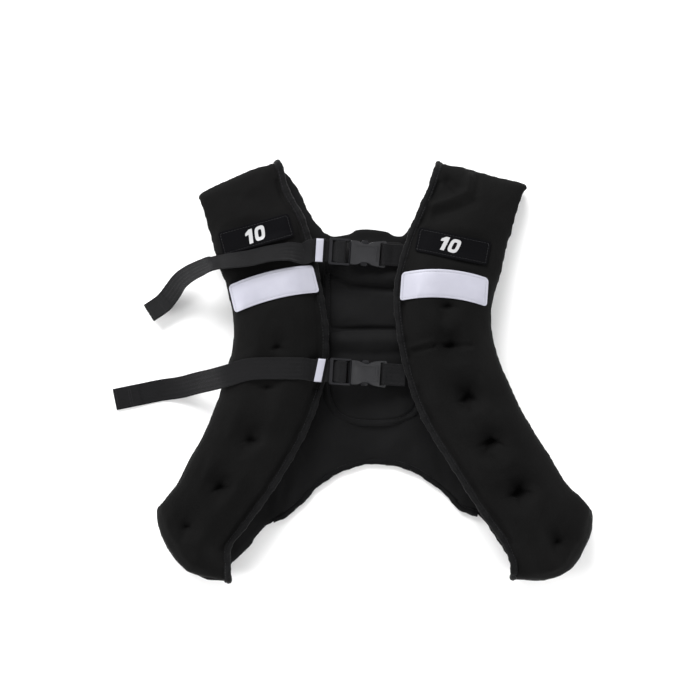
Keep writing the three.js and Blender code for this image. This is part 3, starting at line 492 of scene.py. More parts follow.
def pattern_group(pattern: Pattern) -> bpy.types.NodeTree:
    """Group that puts out the height and tone of a pattern, built once.

    Args:
        pattern: Which fine structure.

    Returns:
        The node group, with inputs Vector and Pitch.
    """
    if pattern.value in bpy.data.node_groups:
        return bpy.data.node_groups[pattern.value]
    wanted = {"Vector": ("NodeSocketVector", None), "Pitch": ("NodeSocketFloat", 0.001)}
    tree, n, start, end = shader_group(pattern.value, wanted, ["Height", "Tone"])
    vector, pitch = start.outputs["Vector"], start.outputs["Pitch"]
    turns = n.math("DIVIDE", 2 * math.pi, pitch)
    scaled = n.put("ShaderNodeVectorMath", {0: vector, "Scale": turns}, operation="SCALE").outputs[0]
    axes = n.put("ShaderNodeSeparateXYZ", {0: scaled})
    x, y = axes.outputs[0], axes.outputs[1]
    if pattern is Pattern.KNIT:
        loops = n.put("ShaderNodeTexVoronoi", {"Vector": scaled, "Scale": 0.2}, feature="SMOOTH_F1")
        fuzz = n.put("ShaderNodeTexNoise", {"Vector": scaled, "Scale": 0.5, "Detail": 4.0, "Roughness": 0.7})
        height = n.math("MULTIPLY_ADD", fuzz.outputs[0], 0.7, loops.outputs["Distance"])
        tone = fuzz.outputs[0]
    elif pattern is Pattern.RIBS:
        rib = n.math("ABSOLUTE", n.math("SINE", n.math("MULTIPLY", x, 0.5)))
        cross = n.math("ABSOLUTE", n.math("SINE", n.math("MULTIPLY", y, 0.8)))
        fuzz = n.put("ShaderNodeTexNoise", {"Vector": scaled, "Scale": 0.35, "Detail": 3.0})
        height = n.math("MULTIPLY_ADD", cross, 0.35, n.math("MULTIPLY_ADD", fuzz.outputs[0], 0.5, rib))
        tone = n.math("MULTIPLY", rib, fuzz.outputs[0])
    elif pattern is Pattern.CHEVRON:
        zigzag = n.math("PINGPONG", y, 3 * math.pi)
        slanted = n.math("MULTIPLY_ADD", zigzag, 0.9, n.math("MULTIPLY", x, 0.5))
        twill = n.math("ABSOLUTE", n.math("SINE", slanted))
        cords = n.math("ABSOLUTE", n.math("SINE", n.math("MULTIPLY", y, 0.5)))
        fuzz = n.put("ShaderNodeTexNoise", {"Vector": scaled, "Scale": 0.3, "Detail": 3.0})
        height = n.math("MULTIPLY_ADD", cords, 0.6, n.math("MULTIPLY_ADD", fuzz.outputs[0], 0.3, twill))
        fade = n.math("MULTIPLY_ADD", twill, 0.6, 0.3)
        tone = n.math("MULTIPLY", fade, n.math("ADD", fuzz.outputs[0], 0.4))
    elif pattern is Pattern.BEADS:
        beads = n.put("ShaderNodeTexVoronoi", {"Vector": scaled, "Scale": 0.5})
        patchy = n.put("ShaderNodeTexNoise", {"Vector": vector, "Scale": 60.0, "Detail": 3.0})
        height = n.math("SUBTRACT", 1.0, beads.outputs["Distance"])
        tone = n.math("MULTIPLY_ADD", beads.outputs["Distance"], 0.3, patchy.outputs[0])
    else:
        skin = n.put("ShaderNodeTexNoise", {"Vector": scaled, "Scale": 0.4, "Detail": 5.0, "Roughness": 0.65})
        flow = n.put("ShaderNodeTexNoise", {"Vector": vector, "Scale": 90.0, "Detail": 2.0})
        height = skin.outputs[0]
        tone = n.math("MULTIPLY_ADD", skin.outputs[0], 0.4, flow.outputs[0])
    tree.links.new(height, end.inputs["Height"])
    tree.links.new(tone, end.inputs["Tone"])
    return tree


def wear_group() -> bpy.types.NodeTree:
    """Group that puts out a mask of handling marks, lint and worn places, built once.

    Returns:
        The node group, with inputs Vector, Patch Scale and Lint.
    """
    name = "handling_wear"
    if name in bpy.data.node_groups:
        return bpy.data.node_groups[name]
    wanted = {
        "Vector": ("NodeSocketVector", None),
        "Patch Scale": ("NodeSocketFloat", 14.0),
        "Lint": ("NodeSocketFloat", 0.3),
    }
    tree, n, start, end = shader_group(name, wanted, ["Mask"])
    vector = start.outputs["Vector"]
    patch_scale = start.outputs["Patch Scale"]
    broad = n.put("ShaderNodeTexNoise", {"Vector": vector, "Scale": patch_scale, "Detail": 4.0})
    lint = n.put("ShaderNodeTexVoronoi", {"Vector": vector, "Scale": 260.0})
    specks = n.math("LESS_THAN", lint.outputs["Distance"], 0.07)
    span = {"Value": broad.outputs[0], "From Min": 0.38, "From Max": 0.68}
    soft = n.put("ShaderNodeMapRange", span).outputs[0]
    mask = n.math("MULTIPLY_ADD", specks, start.outputs["Lint"], soft)
    tree.links.new(n.math("MINIMUM", mask, 1.0), end.inputs["Mask"])
    return tree


@dataclass(frozen=True)
class Finish:
    """A finish: its two tones, gloss, nap and fine structure."""

    name: str
    dark: tuple
    light: tuple
    roughness: float
    pattern: Pattern
    pitch: float
    depth: float
    sheen: float = 0.0
    metallic: float = 0.0
    follows_run: bool = False
    lint: float = 0.0
    gloss_spread: float = 0.1
    lift: float = 0.3
    glint: float = 0.5

    def material(self) -> bpy.types.Material:
        """Material of this finish, made on first use.

        Returns:
            The Blender material.
        """
        if self.name in bpy.data.materials:
            return bpy.data.materials[self.name]
        mat = bpy.data.materials.new(self.name)
        mat.use_nodes = True
        n = Nodes(mat.node_tree)
        shader = mat.node_tree.nodes["Principled BSDF"]
        place = n.put("ShaderNodeTexCoord").outputs["Object"]
        vector = n.put("ShaderNodeUVMap", uv_map="run").outputs[0] if self.follows_run else place
        weave = n.put("ShaderNodeGroup", node_tree=pattern_group(self.pattern))
        mat.node_tree.links.new(vector, weave.inputs["Vector"])
        weave.inputs["Pitch"].default_value = self.pitch * MM
        wear = n.put("ShaderNodeGroup", node_tree=wear_group())
        mat.node_tree.links.new(place, wear.inputs["Vector"])
        wear.inputs["Lint"].default_value = self.lint
        worn = n.math("MULTIPLY", wear.outputs["Mask"], self.lift)
        blend = n.math("MULTIPLY_ADD", weave.outputs["Tone"], 0.6, worn)
        tone = n.put("ShaderNodeMix", data_type="RGBA")
        tone.inputs[6].default_value = (*self.dark, 1.0)
        tone.inputs[7].default_value = (*self.light, 1.0)
        mat.node_tree.links.new(blend, tone.inputs[0])
        least = self.roughness - self.gloss_spread / 2
        gloss = n.math("MULTIPLY_ADD", weave.outputs["Tone"], self.gloss_spread, least)
        relief = {"Strength": 1.0, "Distance": self.depth * MM, "Height": weave.outputs["Height"]}
        bump = n.put("ShaderNodeBump", relief)
        links = mat.node_tree.links
        links.new(tone.outputs[2], shader.inputs["Base Color"])
        links.new(gloss, shader.inputs["Roughness"])
        links.new(bump.outputs[0], shader.inputs["Normal"])
        shader.inputs["Metallic"].default_value = self.metallic
        shader.inputs["Sheen Weight"].default_value = self.sheen
        shader.inputs["Sheen Roughness"].default_value = 0.3
        shader.inputs["Specular IOR Level"].default_value = self.glint
        return mat

    def dress(self, obj: bpy.types.Object) -> None:
        """Gives a piece this finish alone.

        Args:
            obj: Piece to dress.
        """
        obj.data.materials.clear()
        obj.data.materials.append(self.material())
        obj.data.polygons.foreach_set("material_index", [0] * len(obj.data.polygons))


SHELL = Finish("black_shell_knit", (0.001, 0.001, 0.001), (0.0054, 0.0053, 0.0053), 0.78,
               Pattern.KNIT, 1.1, 0.17, sheen=0.035, lint=0.35, glint=0.05)
LINING = Finish("black_pad_knit", (0.0022, 0.0022, 0.0024), (0.0085, 0.0085, 0.0088), 0.85,
                Pattern.KNIT, 0.9, 0.10, sheen=0.03, lint=0.25, glint=0.08)
TAPE = Finish("ribbed_black_tape", (0.0014, 0.0014, 0.0016), (0.0075, 0.0075, 0.008), 0.78,
              Pattern.RIBS, 1.0, 0.2, sheen=0.06, follows_run=True, glint=0.08)
WEBBING = Finish("black_chevron_weave", (0.001, 0.001, 0.0013), (0.0088, 0.0088, 0.0096), 0.68,
                 Pattern.CHEVRON, 1.5, 0.26, sheen=0.05, follows_run=True, glint=0.1)
LABEL = Finish("black_label_cloth", (0.0009, 0.0009, 0.0012), (0.0032, 0.0032, 0.004), 0.75,
               Pattern.RIBS, 0.7, 0.06, follows_run=True, glint=0.03)
REFLECTIVE = Finish("pale_beaded_cloth", (0.27, 0.27, 0.315), (0.345, 0.345, 0.395), 0.42,
                    Pattern.BEADS, 0.5, 0.04, metallic=0.1, glint=0.3)
PRINT = Finish("pale_print", (0.25, 0.25, 0.255), (0.36, 0.36, 0.365), 0.5,
               Pattern.MOULDED, 0.6, 0.03, glint=0.3)
THREAD = Finish("thread", (0.0045, 0.0045, 0.005), (0.016, 0.016, 0.0175), 0.7, Pattern.MOULDED, 0.4, 0.03,
                sheen=0.08, glint=0.15)
PALE_THREAD = Finish("pale_thread", (0.23, 0.23, 0.26), (0.3, 0.3, 0.33), 0.6, Pattern.MOULDED, 0.4, 0.03)
BODY_PLASTIC = Finish("buckle_body_plastic", (0.0085, 0.0085, 0.0095), (0.016, 0.016, 0.018), 0.42,
                      Pattern.MOULDED, 0.5, 0.03, gloss_spread=0.2, glint=0.34)
LADDER_PLASTIC = Finish("buckle_ladder_plastic", (0.004, 0.004, 0.005), (0.009, 0.009, 0.011), 0.4,
                        Pattern.MOULDED, 0.5, 0.025, gloss_spread=0.2, glint=0.26)


@dataclass(frozen=True)
class Crease:
    """A line on a panel where the fabric rises or sinks: its corners, height and half width in mm."""

    path: tuple
    height: float
    spread: float

    def relief(self, xy: np.ndarray) -> np.ndarray:
        """Rise at each place in mm."""
        near = distance_to_path(xy, np.array(self.path, float))
        return self.height * np.exp(-((near / self.spread) ** 2))


@dataclass(frozen=True)
class Tuft:
    """A place where a panel is stitched through: its pull and crease in mm, heading and hollow."""

    x: float
    y: float
    pull: float = 2.2
    crease: float = 9.0
    heading: float = 0.0
    hollow: float = 0.9

    def relief(self, xy: np.ndarray) -> np.ndarray:
        """Sink of the stitch, the crease across it and the folds that run out of it.

        Args:
            xy: Places in plan in mm, one row each.

        Returns:
            Rise at each place in mm, below 0 where it sinks.
        """
        away = xy - np.array([self.x, self.y])
        near = np.linalg.norm(away, axis=1)
        turn = math.radians(self.heading)
        run = away @ np.array([math.cos(turn), math.sin(turn)])
        side = away @ np.array([-math.sin(turn), math.cos(turn)])
        angle = np.arctan2(away[:, 1], away[:, 0])
        rng = np.random.default_rng(int(abs(self.x * 7 + self.y * 13)))
        folds = np.zeros(len(xy))
        for count in (3, 5, 7):
            folds += np.cos(count * angle + rng.uniform(0, FULL_TURN)) / count
        pit, above_stitch, basin, crease_half, fold_reach = 4.2, 3.5, 15.0, 1.7, 13.0
        sunk = self.pull * np.exp(-((near / pit) ** 2))
        above = np.hypot(away[:, 0], away[:, 1] - above_stitch)
        sunk += self.pull * self.hollow * np.exp(-((above / basin) ** 2))
        bowed = side + (run / self.crease) ** 2 * 2.0
        line = 0.75 * self.pull * np.exp(-((bowed / crease_half) ** 2) - (run / self.crease) ** 2)
        fade = np.exp(-((near / fold_reach) ** 2)) * near / (near + 5.0)
        return -sunk - line + 0.55 * self.pull * folds * fade


@dataclass(frozen=True)
class Footprint:
    """Place pressed flat by something sewn or laid on a panel: its middle line and half width in mm."""

    path: tuple
    reach: float

    def cover(self, xy: np.ndarray) -> np.ndarray:
        """Share of cover at each place, 1 under the piece and 0 well away from it."""
        near = distance_to_path(xy, np.array(self.path, float))
        return 1.0 - smoothstep((near - self.reach) / 9.0)


@dataclass
class EdgeFrames:
    """Places along the bound edge of a front panel, with the directions up and into the panel."""

    edge: np.ndarray
    normal: np.ndarray
    inward: np.ndarray


def front_edge(rows: np.ndarray, rise: float, steps: int, lobe_heading: float = 270.0) -> EdgeFrames:
    """Bound inner edge of a front panel, from its shoulder fold to the fold of its lobe.

    Args:
        rows: Sections of the panel.
        rise: Share of the spare thickness that lies under the edge.
        steps: Places for each row.
        lobe_heading: Direction of the fold of the lobe in degrees.

    Returns:
        The frames along the edge.
    """
    thick = rows[:, 4] * FRONT_THICKNESS
    thick[0], thick[-1] = SHOULDER_THICKNESS, LOBE_THICKNESS
    level = SHOULDER_LIFT + (LOBE_LIFT - SHOULDER_LIFT) * rows[:, 5]
    shares = np.linspace(0, 1, (len(rows) - 1) * steps + 1)
    zero = np.zeros(len(rows))
    inner = spline(np.stack([rows[:, 0] * HALF_WIDTH, rows[:, 1] * HALF_LENGTH, zero], 1), shares)
    outer = spline(np.stack([rows[:, 2] * HALF_WIDTH, rows[:, 3] * HALF_LENGTH, zero], 1), shares)
    numbers = spline(np.stack([thick, level, rows[:, 6] * HALF_WIDTH], 1), shares)
    edge = inner.copy()
    edge[:, 2] = numbers[:, 1] + rise * (numbers[:, 0] - EDGE_THICKNESS) + EDGE_THICKNESS / 2
    normal = np.tile([0.0, 0.0, 1.0], (len(edge), 1))
    lean = math.atan2(outer[0, 1] - inner[0, 1], outer[0, 0] - inner[0, 0])
    shoulder = lean - math.pi / 2 if outer[0, 0] < inner[0, 0] else lean + math.pi / 2
    folds = []
    ends = ((0, SHOULDER_RADIUS, SHOULDER_THICKNESS, shoulder),
            (-1, LOBE_RADIUS, LOBE_SEAM, math.radians(lobe_heading)))
    for end, radius, seam, heading in ends:
        turn = np.linspace(0, 1, steps * 2 + 1)[1:]
        thickness = numbers[end, 0] + (seam - numbers[end, 0]) * turn
        share = rise + (0.5 - rise) * turn
        out = radius - thickness / 2 + share * (thickness - EDGE_THICKNESS) + EDGE_THICKNESS / 2
        axis = numbers[end, 1] - (radius - numbers[end, 0] / 2)
        ahead = np.array([math.cos(heading), math.sin(heading), 0.0])
        sine, cosine = np.sin(turn * math.pi / 2), np.cos(turn * math.pi / 2)
        place = inner[end] + ahead * (out * sine)[:, None]
        place[:, 2] = axis + out * cosine + GAP / 2 * sine
        tilt = ahead * sine[:, None] + np.array([0, 0, 1.0]) * cosine[:, None]
        side = np.tile(outer[end] - inner[end], (len(place), 1))
        folds.append((place, tilt, side))
    edge = np.vstack([folds[0][0][::-1], edge, folds[1][0]])
    normal = np.vstack([folds[0][1][::-1], normal, folds[1][1]])
    toward = np.vstack([folds[0][2][::-1], outer - inner, folds[1][2]])
    tangent = unit(np.gradient(edge, axis=0))
    inward = unit(np.cross(normal, tangent))
    inward *= np.where(np.sum(inward * toward, axis=1) < 0, -1.0, 1.0)[:, None]
    return EdgeFrames(edge, normal, inward)


@dataclass
class PaddedPiece:
    """A stuffed piece: even skin of its CAD node, swollen by cloth, then dented, creased and seamed."""

    name: str
    nodes: tuple
    slot: str
    finish: Finish
    voxel: float = 3.4
    pressure: float = 4.0
    cap: float = 5.0
    fill: float = 0.75
    under_share: float = 0.35
    split: float = 30.0
    levels: int = 1
    tufts: Sequence[Tuft] = ()
    creases: Sequence[Crease] = ()
    footprints: Sequence[Footprint] = ()
    held_lines: Sequence[np.ndarray] = ()
    held_reach: float = 8.0
    seam_heights: Sequence[tuple] = ()
    back_tufts: Sequence[Tuft] = ()
    shifts: Sequence[tuple] = ()
    swell: float = 0.36
    obj: Optional[bpy.types.Object] = field(default=None, init=False)

    def build(self, frame: dict) -> bpy.types.Object:
        """Makes the piece.
        """
        self.obj = self.skin(frame["nodes"][self.nodes[0]])
        start = ease(self.obj, places_of(self.obj), 5)
        start[:, 2] = np.maximum(start[:, 2], FLOOR_CLEARANCE)
        set_places(self.obj, start)
        move = self.puffed(start)
        cover = self.cover(start[:, :2])
        upper = smoothstep((start[:, 2] - self.split) / 6.0 + 0.5)
        share = upper * (1 - cover) + (1 - upper) * self.under_share
        co = ease(self.obj, start + move * share[:, None], 2)
        co[:, 2] = np.maximum(co[:, 2], FLOOR_CLEARANCE)
        set_places(self.obj, co)
        if self.levels:
            detail = self.obj.modifiers.new("detail", "SUBSURF")
            detail.levels = detail.render_levels = self.levels
            settle(self.obj)
        self.sculpt()
        self.obj.data.shade_smooth()
        self.finish.dress(self.obj)
        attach(self.obj, "root")
        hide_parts(*self.nodes)
        return self.obj

    def skin(self, source: bpy.types.Object) -> bpy.types.Object:
        """Even closed skin of a CAD node, from a merged copy of its mesh.

        Args:
            source: The CAD node.

        Returns:
            The skin, linked and remeshed.
        """
        mesh = source.data.copy()
        work = bmesh.new()
        work.from_mesh(mesh)
        bmesh.ops.remove_doubles(work, verts=work.verts, dist=1e-5)
        work.to_mesh(mesh)
        work.free()
        obj = bpy.data.objects.new(self.name, mesh)
        bpy.context.scene.collection.objects.link(obj)
        even = obj.modifiers.new("even", "REMESH")
        even.mode = "VOXEL"
        even.voxel_size = self.voxel * MM
        settle(obj)
        return obj

    def held(self, co: np.ndarray) -> np.ndarray:
        """Points that stitching holds: the bound edges, the tufts and the seams.

        Args:
            co: Points in mm, one row each.

        Returns:
            Whether each point is held.
        """
        held = np.zeros(len(co), bool)
        for line in self.held_lines:
            columns = line.shape[1]
            held |= distance_to_path(co[:, :columns], line) < self.held_reach
        for tuft in self.tufts:
            held |= np.hypot(co[:, 0] - tuft.x, co[:, 1] - tuft.y) < 4.5
        for low_y, high_y, low_z, high_z in self.seam_heights:
            held |= (co[:, 1] > low_y) & (co[:, 1] < high_y) & (co[:, 2] > low_z) & (co[:, 2] < high_z)
        return held

    def puffed(self, start: np.ndarray) -> np.ndarray:
        """Args:
            start: Points before the pressure, in mm.

        Returns:
            The move of each point in mm.
        """
        group = self.obj.vertex_groups.new(name="sewn")
        group.add(np.flatnonzero(self.held(start)).tolist(), 1.0, "REPLACE")
        cloth = self.obj.modifiers.new("cloth", "CLOTH")
        rules = cloth.settings
        rules.quality = 4
        rules.vertex_group_mass = "sewn"
        rules.use_pressure = True
        rules.uniform_pressure_force = self.pressure
        rules.bending_stiffness = 0.8
        rules.effector_weights.gravity = 0.0
        cloth.collision_settings.use_collision = False
        cloth.point_cache.frame_start, cloth.point_cache.frame_end = 1, CLOTH_STEPS
        scene = bpy.context.scene
        for step in range(1, CLOTH_STEPS + 1):
            scene.frame_set(step)
        shown = self.obj.evaluated_get(bpy.context.evaluated_depsgraph_get())
        co = np.empty(len(shown.data.vertices) * 3)
        shown.data.vertices.foreach_get("co", co)
        self.obj.modifiers.clear()
        self.obj.vertex_groups.clear()
        scene.frame_set(1)
        move = co.reshape(-1, 3) / MM - start
        far = np.linalg.norm(move, axis=1, keepdims=True)
        LOG.info("%s swelled by up to %.1f mm, held to %.1f mm", self.name, far.max(), self.cap)
        return move * np.minimum(1.0, self.cap / np.maximum(far, 1e-6))

    def cover(self, xy: np.ndarray) -> np.ndarray:
        """Share of each place that lies under something.

        Args:
            xy: Places in plan in mm, one row each.

        Returns:
            1 where something lies on the piece, 0 well away from it.
        """
        total = np.zeros(len(xy))
        for footprint in self.footprints:
            total = np.maximum(total, footprint.cover(xy))
        return total

    def sculpt(self) -> None:
        """Adds tufts, creases, seams and small unevenness to the fine mesh."""
        co = places_of(self.obj)
        normals = normals_of(self.obj)
        xy = co[:, :2]
        free = 1 - self.cover(xy)
        relief = np.zeros(len(co))
        for mark in (*self.tufts, *self.creases):
            relief += mark.relief(xy)
        upper = smoothstep(normals[:, 2] * 2.0)
        lift = relief * upper * free
        for tuft in self.back_tufts:
            lift += tuft.relief(xy) * smoothstep(-normals[:, 2] * 2.0) * 0.45
        rough = waves(co, 46.0, 3) * self.swell + waves(co, 17.0, 5) * self.swell * 0.3
        rough += waves(co, 6.0, 8) * self.swell * 0.06
        lift += rough * (0.25 + 0.75 * free) * np.where(normals[:, 2] < -0.5, 0.3, 1.0)
        for low_y, high_y, low_z, high_z in self.seam_heights:
            middle = (low_z + high_z) / 2
            near = np.exp(-(((co[:, 2] - middle) / 2.0) ** 2))
            there = (co[:, 1] > low_y) & (co[:, 1] < high_y) & (np.abs(normals[:, 2]) < 0.8)
            lift -= 1.3 * near * there
        co = co + normals * lift[:, None]
        for x, y, ahead, aside, reach in self.shifts:
            share = np.exp(-(((co[:, 0] - x) / (reach * 2.2)) ** 2) - (((co[:, 1] - y) / reach) ** 2))
            co[:, :2] += share[:, None] * np.array([aside, ahead])
        co[:, 2] = np.maximum(co[:, 2], 0.02)
        set_places(self.obj, co)


@dataclass
class BoundEdge:
    """Soft tape that wraps the edge of a panel in a U, with a stitch line and small puckers."""

    name: str
    node: str
    frames: EdgeFrames
    reach: float = 6.2
    half: float = TAPE_HALF
    slot_half: float = 2.3
    nose: float = 1.7
    pucker: float = 0.8
    seed: int = 1

    def section(self) -> np.ndarray:
        """Closed section as runs into the panel and heights.

        Returns:
            Corners of the section in mm.
        """
        outside = []
        for angle in np.linspace(90, -90, 11):
            turn = math.radians(angle)
            outside.append((1.0 - (self.nose + 1.0) * math.cos(turn) ** 0.9, self.half * math.sin(turn)))
        sewn_shape = ((0.0, 0.66), (0.9, 0.8), (1.8, 0.72), (3.0, 1.02), (4.2, 1.1))
        top = [(self.reach - back, self.half * share) for back, share in sewn_shape]
        under = [(run, -rise) for run, rise in reversed(top)]
        inside = [(self.reach, -self.slot_half), (0.2, -self.slot_half), (-0.3, 0.0), (0.2, self.slot_half),
                  (self.reach, self.slot_half)]
        return np.array([*top, *outside, *under, *inside])

    def build(self) -> bpy.types.Object:
        """Sweeps the tape along the edge.

        Returns:
            The finished object.
        """
        edge, normal, inward = self.frames.edge, self.frames.normal, self.frames.inward
        rows = resampled(np.hstack([edge, normal, inward]), 1.6)
        edge, normal, inward = rows[:, :3], unit(rows[:, 3:6]), unit(rows[:, 6:9])
        run = lengths(edge)
        section = self.section()
        rng = np.random.default_rng(self.seed)
        wide = np.zeros(len(run))
        for wavelength, height in ((5.2, 0.16), (13.0, 0.3), (31.0, 0.45)):
            wide += height * np.sin(run * 2 * math.pi / wavelength + rng.uniform(0, FULL_TURN))
        rings = []
        for k in range(len(edge)):
            outer = np.ones(len(section))
            outer[-5:] = 0.0
            runs = section[:, 0] - self.pucker * wide[k] * outer * (section[:, 0] < 3)
            rises = section[:, 1] * (1 + 0.3 * wide[k] * outer)
            ring = edge[k] + runs[:, None] * inward[k] + rises[:, None] * normal[k]
            ring[:, 2] = np.maximum(ring[:, 2], 0.1)
            rings.append(ring)
        obj = tube(self.name, np.array(rings), run)
        TAPE.dress(obj)
        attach(obj, "root")
        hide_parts(self.node)
        return obj

    def stitch_path(self, inset: float = 4.6) -> np.ndarray:
        """Line of the stitches on the outer face of the tape."""
        rows = resampled(np.hstack([self.frames.edge, self.frames.normal, self.frames.inward]), 4.0)
        return rows[:, :3] + unit(rows[:, 6:9]) * inset + unit(rows[:, 3:6]) * (self.half * 0.8)


@dataclass
class SewnPatch:
    """A flat patch sewn on a panel: stretched over the padding, with rounded corners."""

    name: str
    x: float
    y: float
    heading: float
    bend: float
    length: float
    height: float
    finish: Finish
    slot: str
    corner: float = 4.0
    thickness: float = 1.2
    lift: float = 0.0
    lift_at: float = 0.4
    columns: int = 73
    lines: int = 27
    top: np.ndarray = field(default=None, init=False)

    def flat_place(self, u: np.ndarray, v: np.ndarray) -> np.ndarray:
        """Place in plan for shares from -1 to 1 along and across the patch.

        Args:
            u: Shares along the patch.
            v: Shares across it.

        Returns:
            Places in plan in mm.
        """
        turn = math.radians(self.heading)
        along = np.array([math.cos(turn), math.sin(turn)])
        across = np.array([-math.sin(turn), math.cos(turn)])
        middle = np.array([self.x * HALF_WIDTH, self.y * HALF_LENGTH])
        rise = v * self.height / 2 - self.bend * self.length * u * u
        return middle + np.multiply.outer(u * self.length / 2, along) + np.multiply.outer(rise, across)

    def build(self, under: Surface) -> bpy.types.Object:
        """Lays the patch on what is under it.

        Args:
            under: Heights of the panel that carries it.

        Returns:
            The finished object.
        """
        u = np.sin(np.linspace(-1, 1, self.columns) * PATCH_CURVE) / math.sin(PATCH_CURVE)
        v = np.sin(np.linspace(-1, 1, self.lines) * PATCH_CURVE) / math.sin(PATCH_CURVE)
        gu, gv = np.meshgrid(u, v, indexing="ij")
        beyond = np.maximum(0, np.abs(gu) * self.length / 2 - (self.length / 2 - self.corner))
        cut = self.corner - np.sqrt(np.maximum(0, self.corner ** 2 - beyond ** 2))
        gv = gv * (1 - cut / (self.height / 2))
        flat = self.flat_place(gu.ravel(), gv.ravel()).reshape(self.columns, self.lines, 2)
        ground = np.array([[under.highest(x, y, 1.2) for x, y in row] for row in flat])
        bed = ground.copy()
        for _ in range(BED_PASSES):
            padded = np.pad(bed, 1, mode="edge")
            blurred = (padded[:-2, 1:-1] + padded[2:, 1:-1] + padded[1:-1, :-2] + padded[1:-1, 2:]) / 4
            bed = np.maximum(ground, blurred)
        bed += 0.25
        if self.lift:
            window = np.exp(-(((gu - self.lift_at) / 0.55) ** 2))
            bed += self.lift * smoothstep(-gv * 1.6 - 0.4) * window
        edge = np.minimum((1 - np.abs(gu)) * self.length / 2, (1 - np.abs(gv)) * self.height / 2)
        round_off = 0.45 * (1 - np.clip(edge / 1.2, 0, 1)) ** 2
        hem = 0.3 * np.exp(-(((edge - 2.6) / 0.7) ** 2))
        top = np.dstack([flat, bed + self.thickness - round_off - hem])
        low = np.dstack([flat, bed])
        self.top = top
        obj = self.slab(top, low)
        self.finish.dress(obj)
        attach(obj, "root")
        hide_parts(self.name.replace("sewn_", ""))
        return obj

    def slab(self, top: np.ndarray, low: np.ndarray) -> bpy.types.Object:
        """Closed mesh between two grids of places, with a UV map in metres.

        Args:
            top: Places of the upper face, by column and line.
            low: Those of the lower face.

        Returns:
            The linked object.
        """
        n, m = top.shape[:2]
        size = n * m
        index = np.arange(size).reshape(n, m)
        a, b, c, d = index[:-1, :-1], index[1:, :-1], index[1:, 1:], index[:-1, 1:]
        upper = np.stack([a, b, c, d], -1).reshape(-1, 4)
        lower = upper[:, ::-1] + size
        rim = np.concatenate([index[:, 0], index[-1, 1:], index[-2::-1, -1], index[0, -2:0:-1]])
        after = np.roll(rim, -1)
        walls = np.stack([after, rim, rim + size, after + size], axis=1)
        places = np.vstack([top.reshape(-1, 3), low.reshape(-1, 3)])
        obj = new_object(self.name, places, np.vstack([upper, lower, walls]).tolist())
        grid_u = np.repeat(np.linspace(0, self.length, n), m)
        grid_v = np.tile(np.linspace(0, self.height, m), n)
        uv = np.stack([np.tile(grid_u, 2), np.tile(grid_v, 2)], axis=1) * MM
        corner = np.empty(len(obj.data.loops), dtype=np.int64)
        obj.data.loops.foreach_get("vertex_index", corner)
        obj.data.uv_layers.new(name="run").data.foreach_set("uv", uv[corner].ravel())
        face_outward(obj.data)
        return obj

    def on_top(self, u: np.ndarray, v: np.ndarray, rise: float) -> np.ndarray:
        """Places on the top for shares from -1 to 1, raised by rise in mm.

        Args:
            u: Shares along the patch.
            v: Shares across it.
            rise: Height over the top.

        Returns:
            Places in mm.
        """
        n, m = self.top.shape[:2]
        full = math.sin(PATCH_CURVE)
        gu = (np.arcsin(np.clip(u, -1, 1) * full) / PATCH_CURVE + 1) / 2 * (n - 1)
        gv = (np.arcsin(np.clip(v, -1, 1) * full) / PATCH_CURVE + 1) / 2 * (m - 1)
        i = np.clip(gu.astype(int), 0, n - 2)
        j = np.clip(gv.astype(int), 0, m - 2)
        s, t = (gu - i)[:, None], (gv - j)[:, None]
        grid = self.top
        out = (grid[i, j] * (1 - s) * (1 - t) + grid[i + 1, j] * s * (1 - t)
               + grid[i, j + 1] * (1 - s) * t + grid[i + 1, j + 1] * s * t)
        out[:, 2] += rise
        return out

    def stitch_path(self, inset: float = 2.6) -> np.ndarray:
        """Closed line of stitches a little inside the edge.

        Args:
            inset: Distance from the edge in mm.

        Returns:
            Places along the line in mm.
        """
        half_u, half_v = 1 - inset * 2 / self.length, 1 - inset * 2 / self.height
        corners = np.array([[-1, -1], [1, -1], [1, 1], [-1, 1], [-1, -1]], float) * [half_u, half_v]
        line = resampled(np.hstack([corners * [self.length / 2, self.height / 2], np.zeros((5, 1))]), 2.0)
        return self.on_top(line[:, 0] / (self.length / 2), line[:, 1] / (self.height / 2), 0.12)


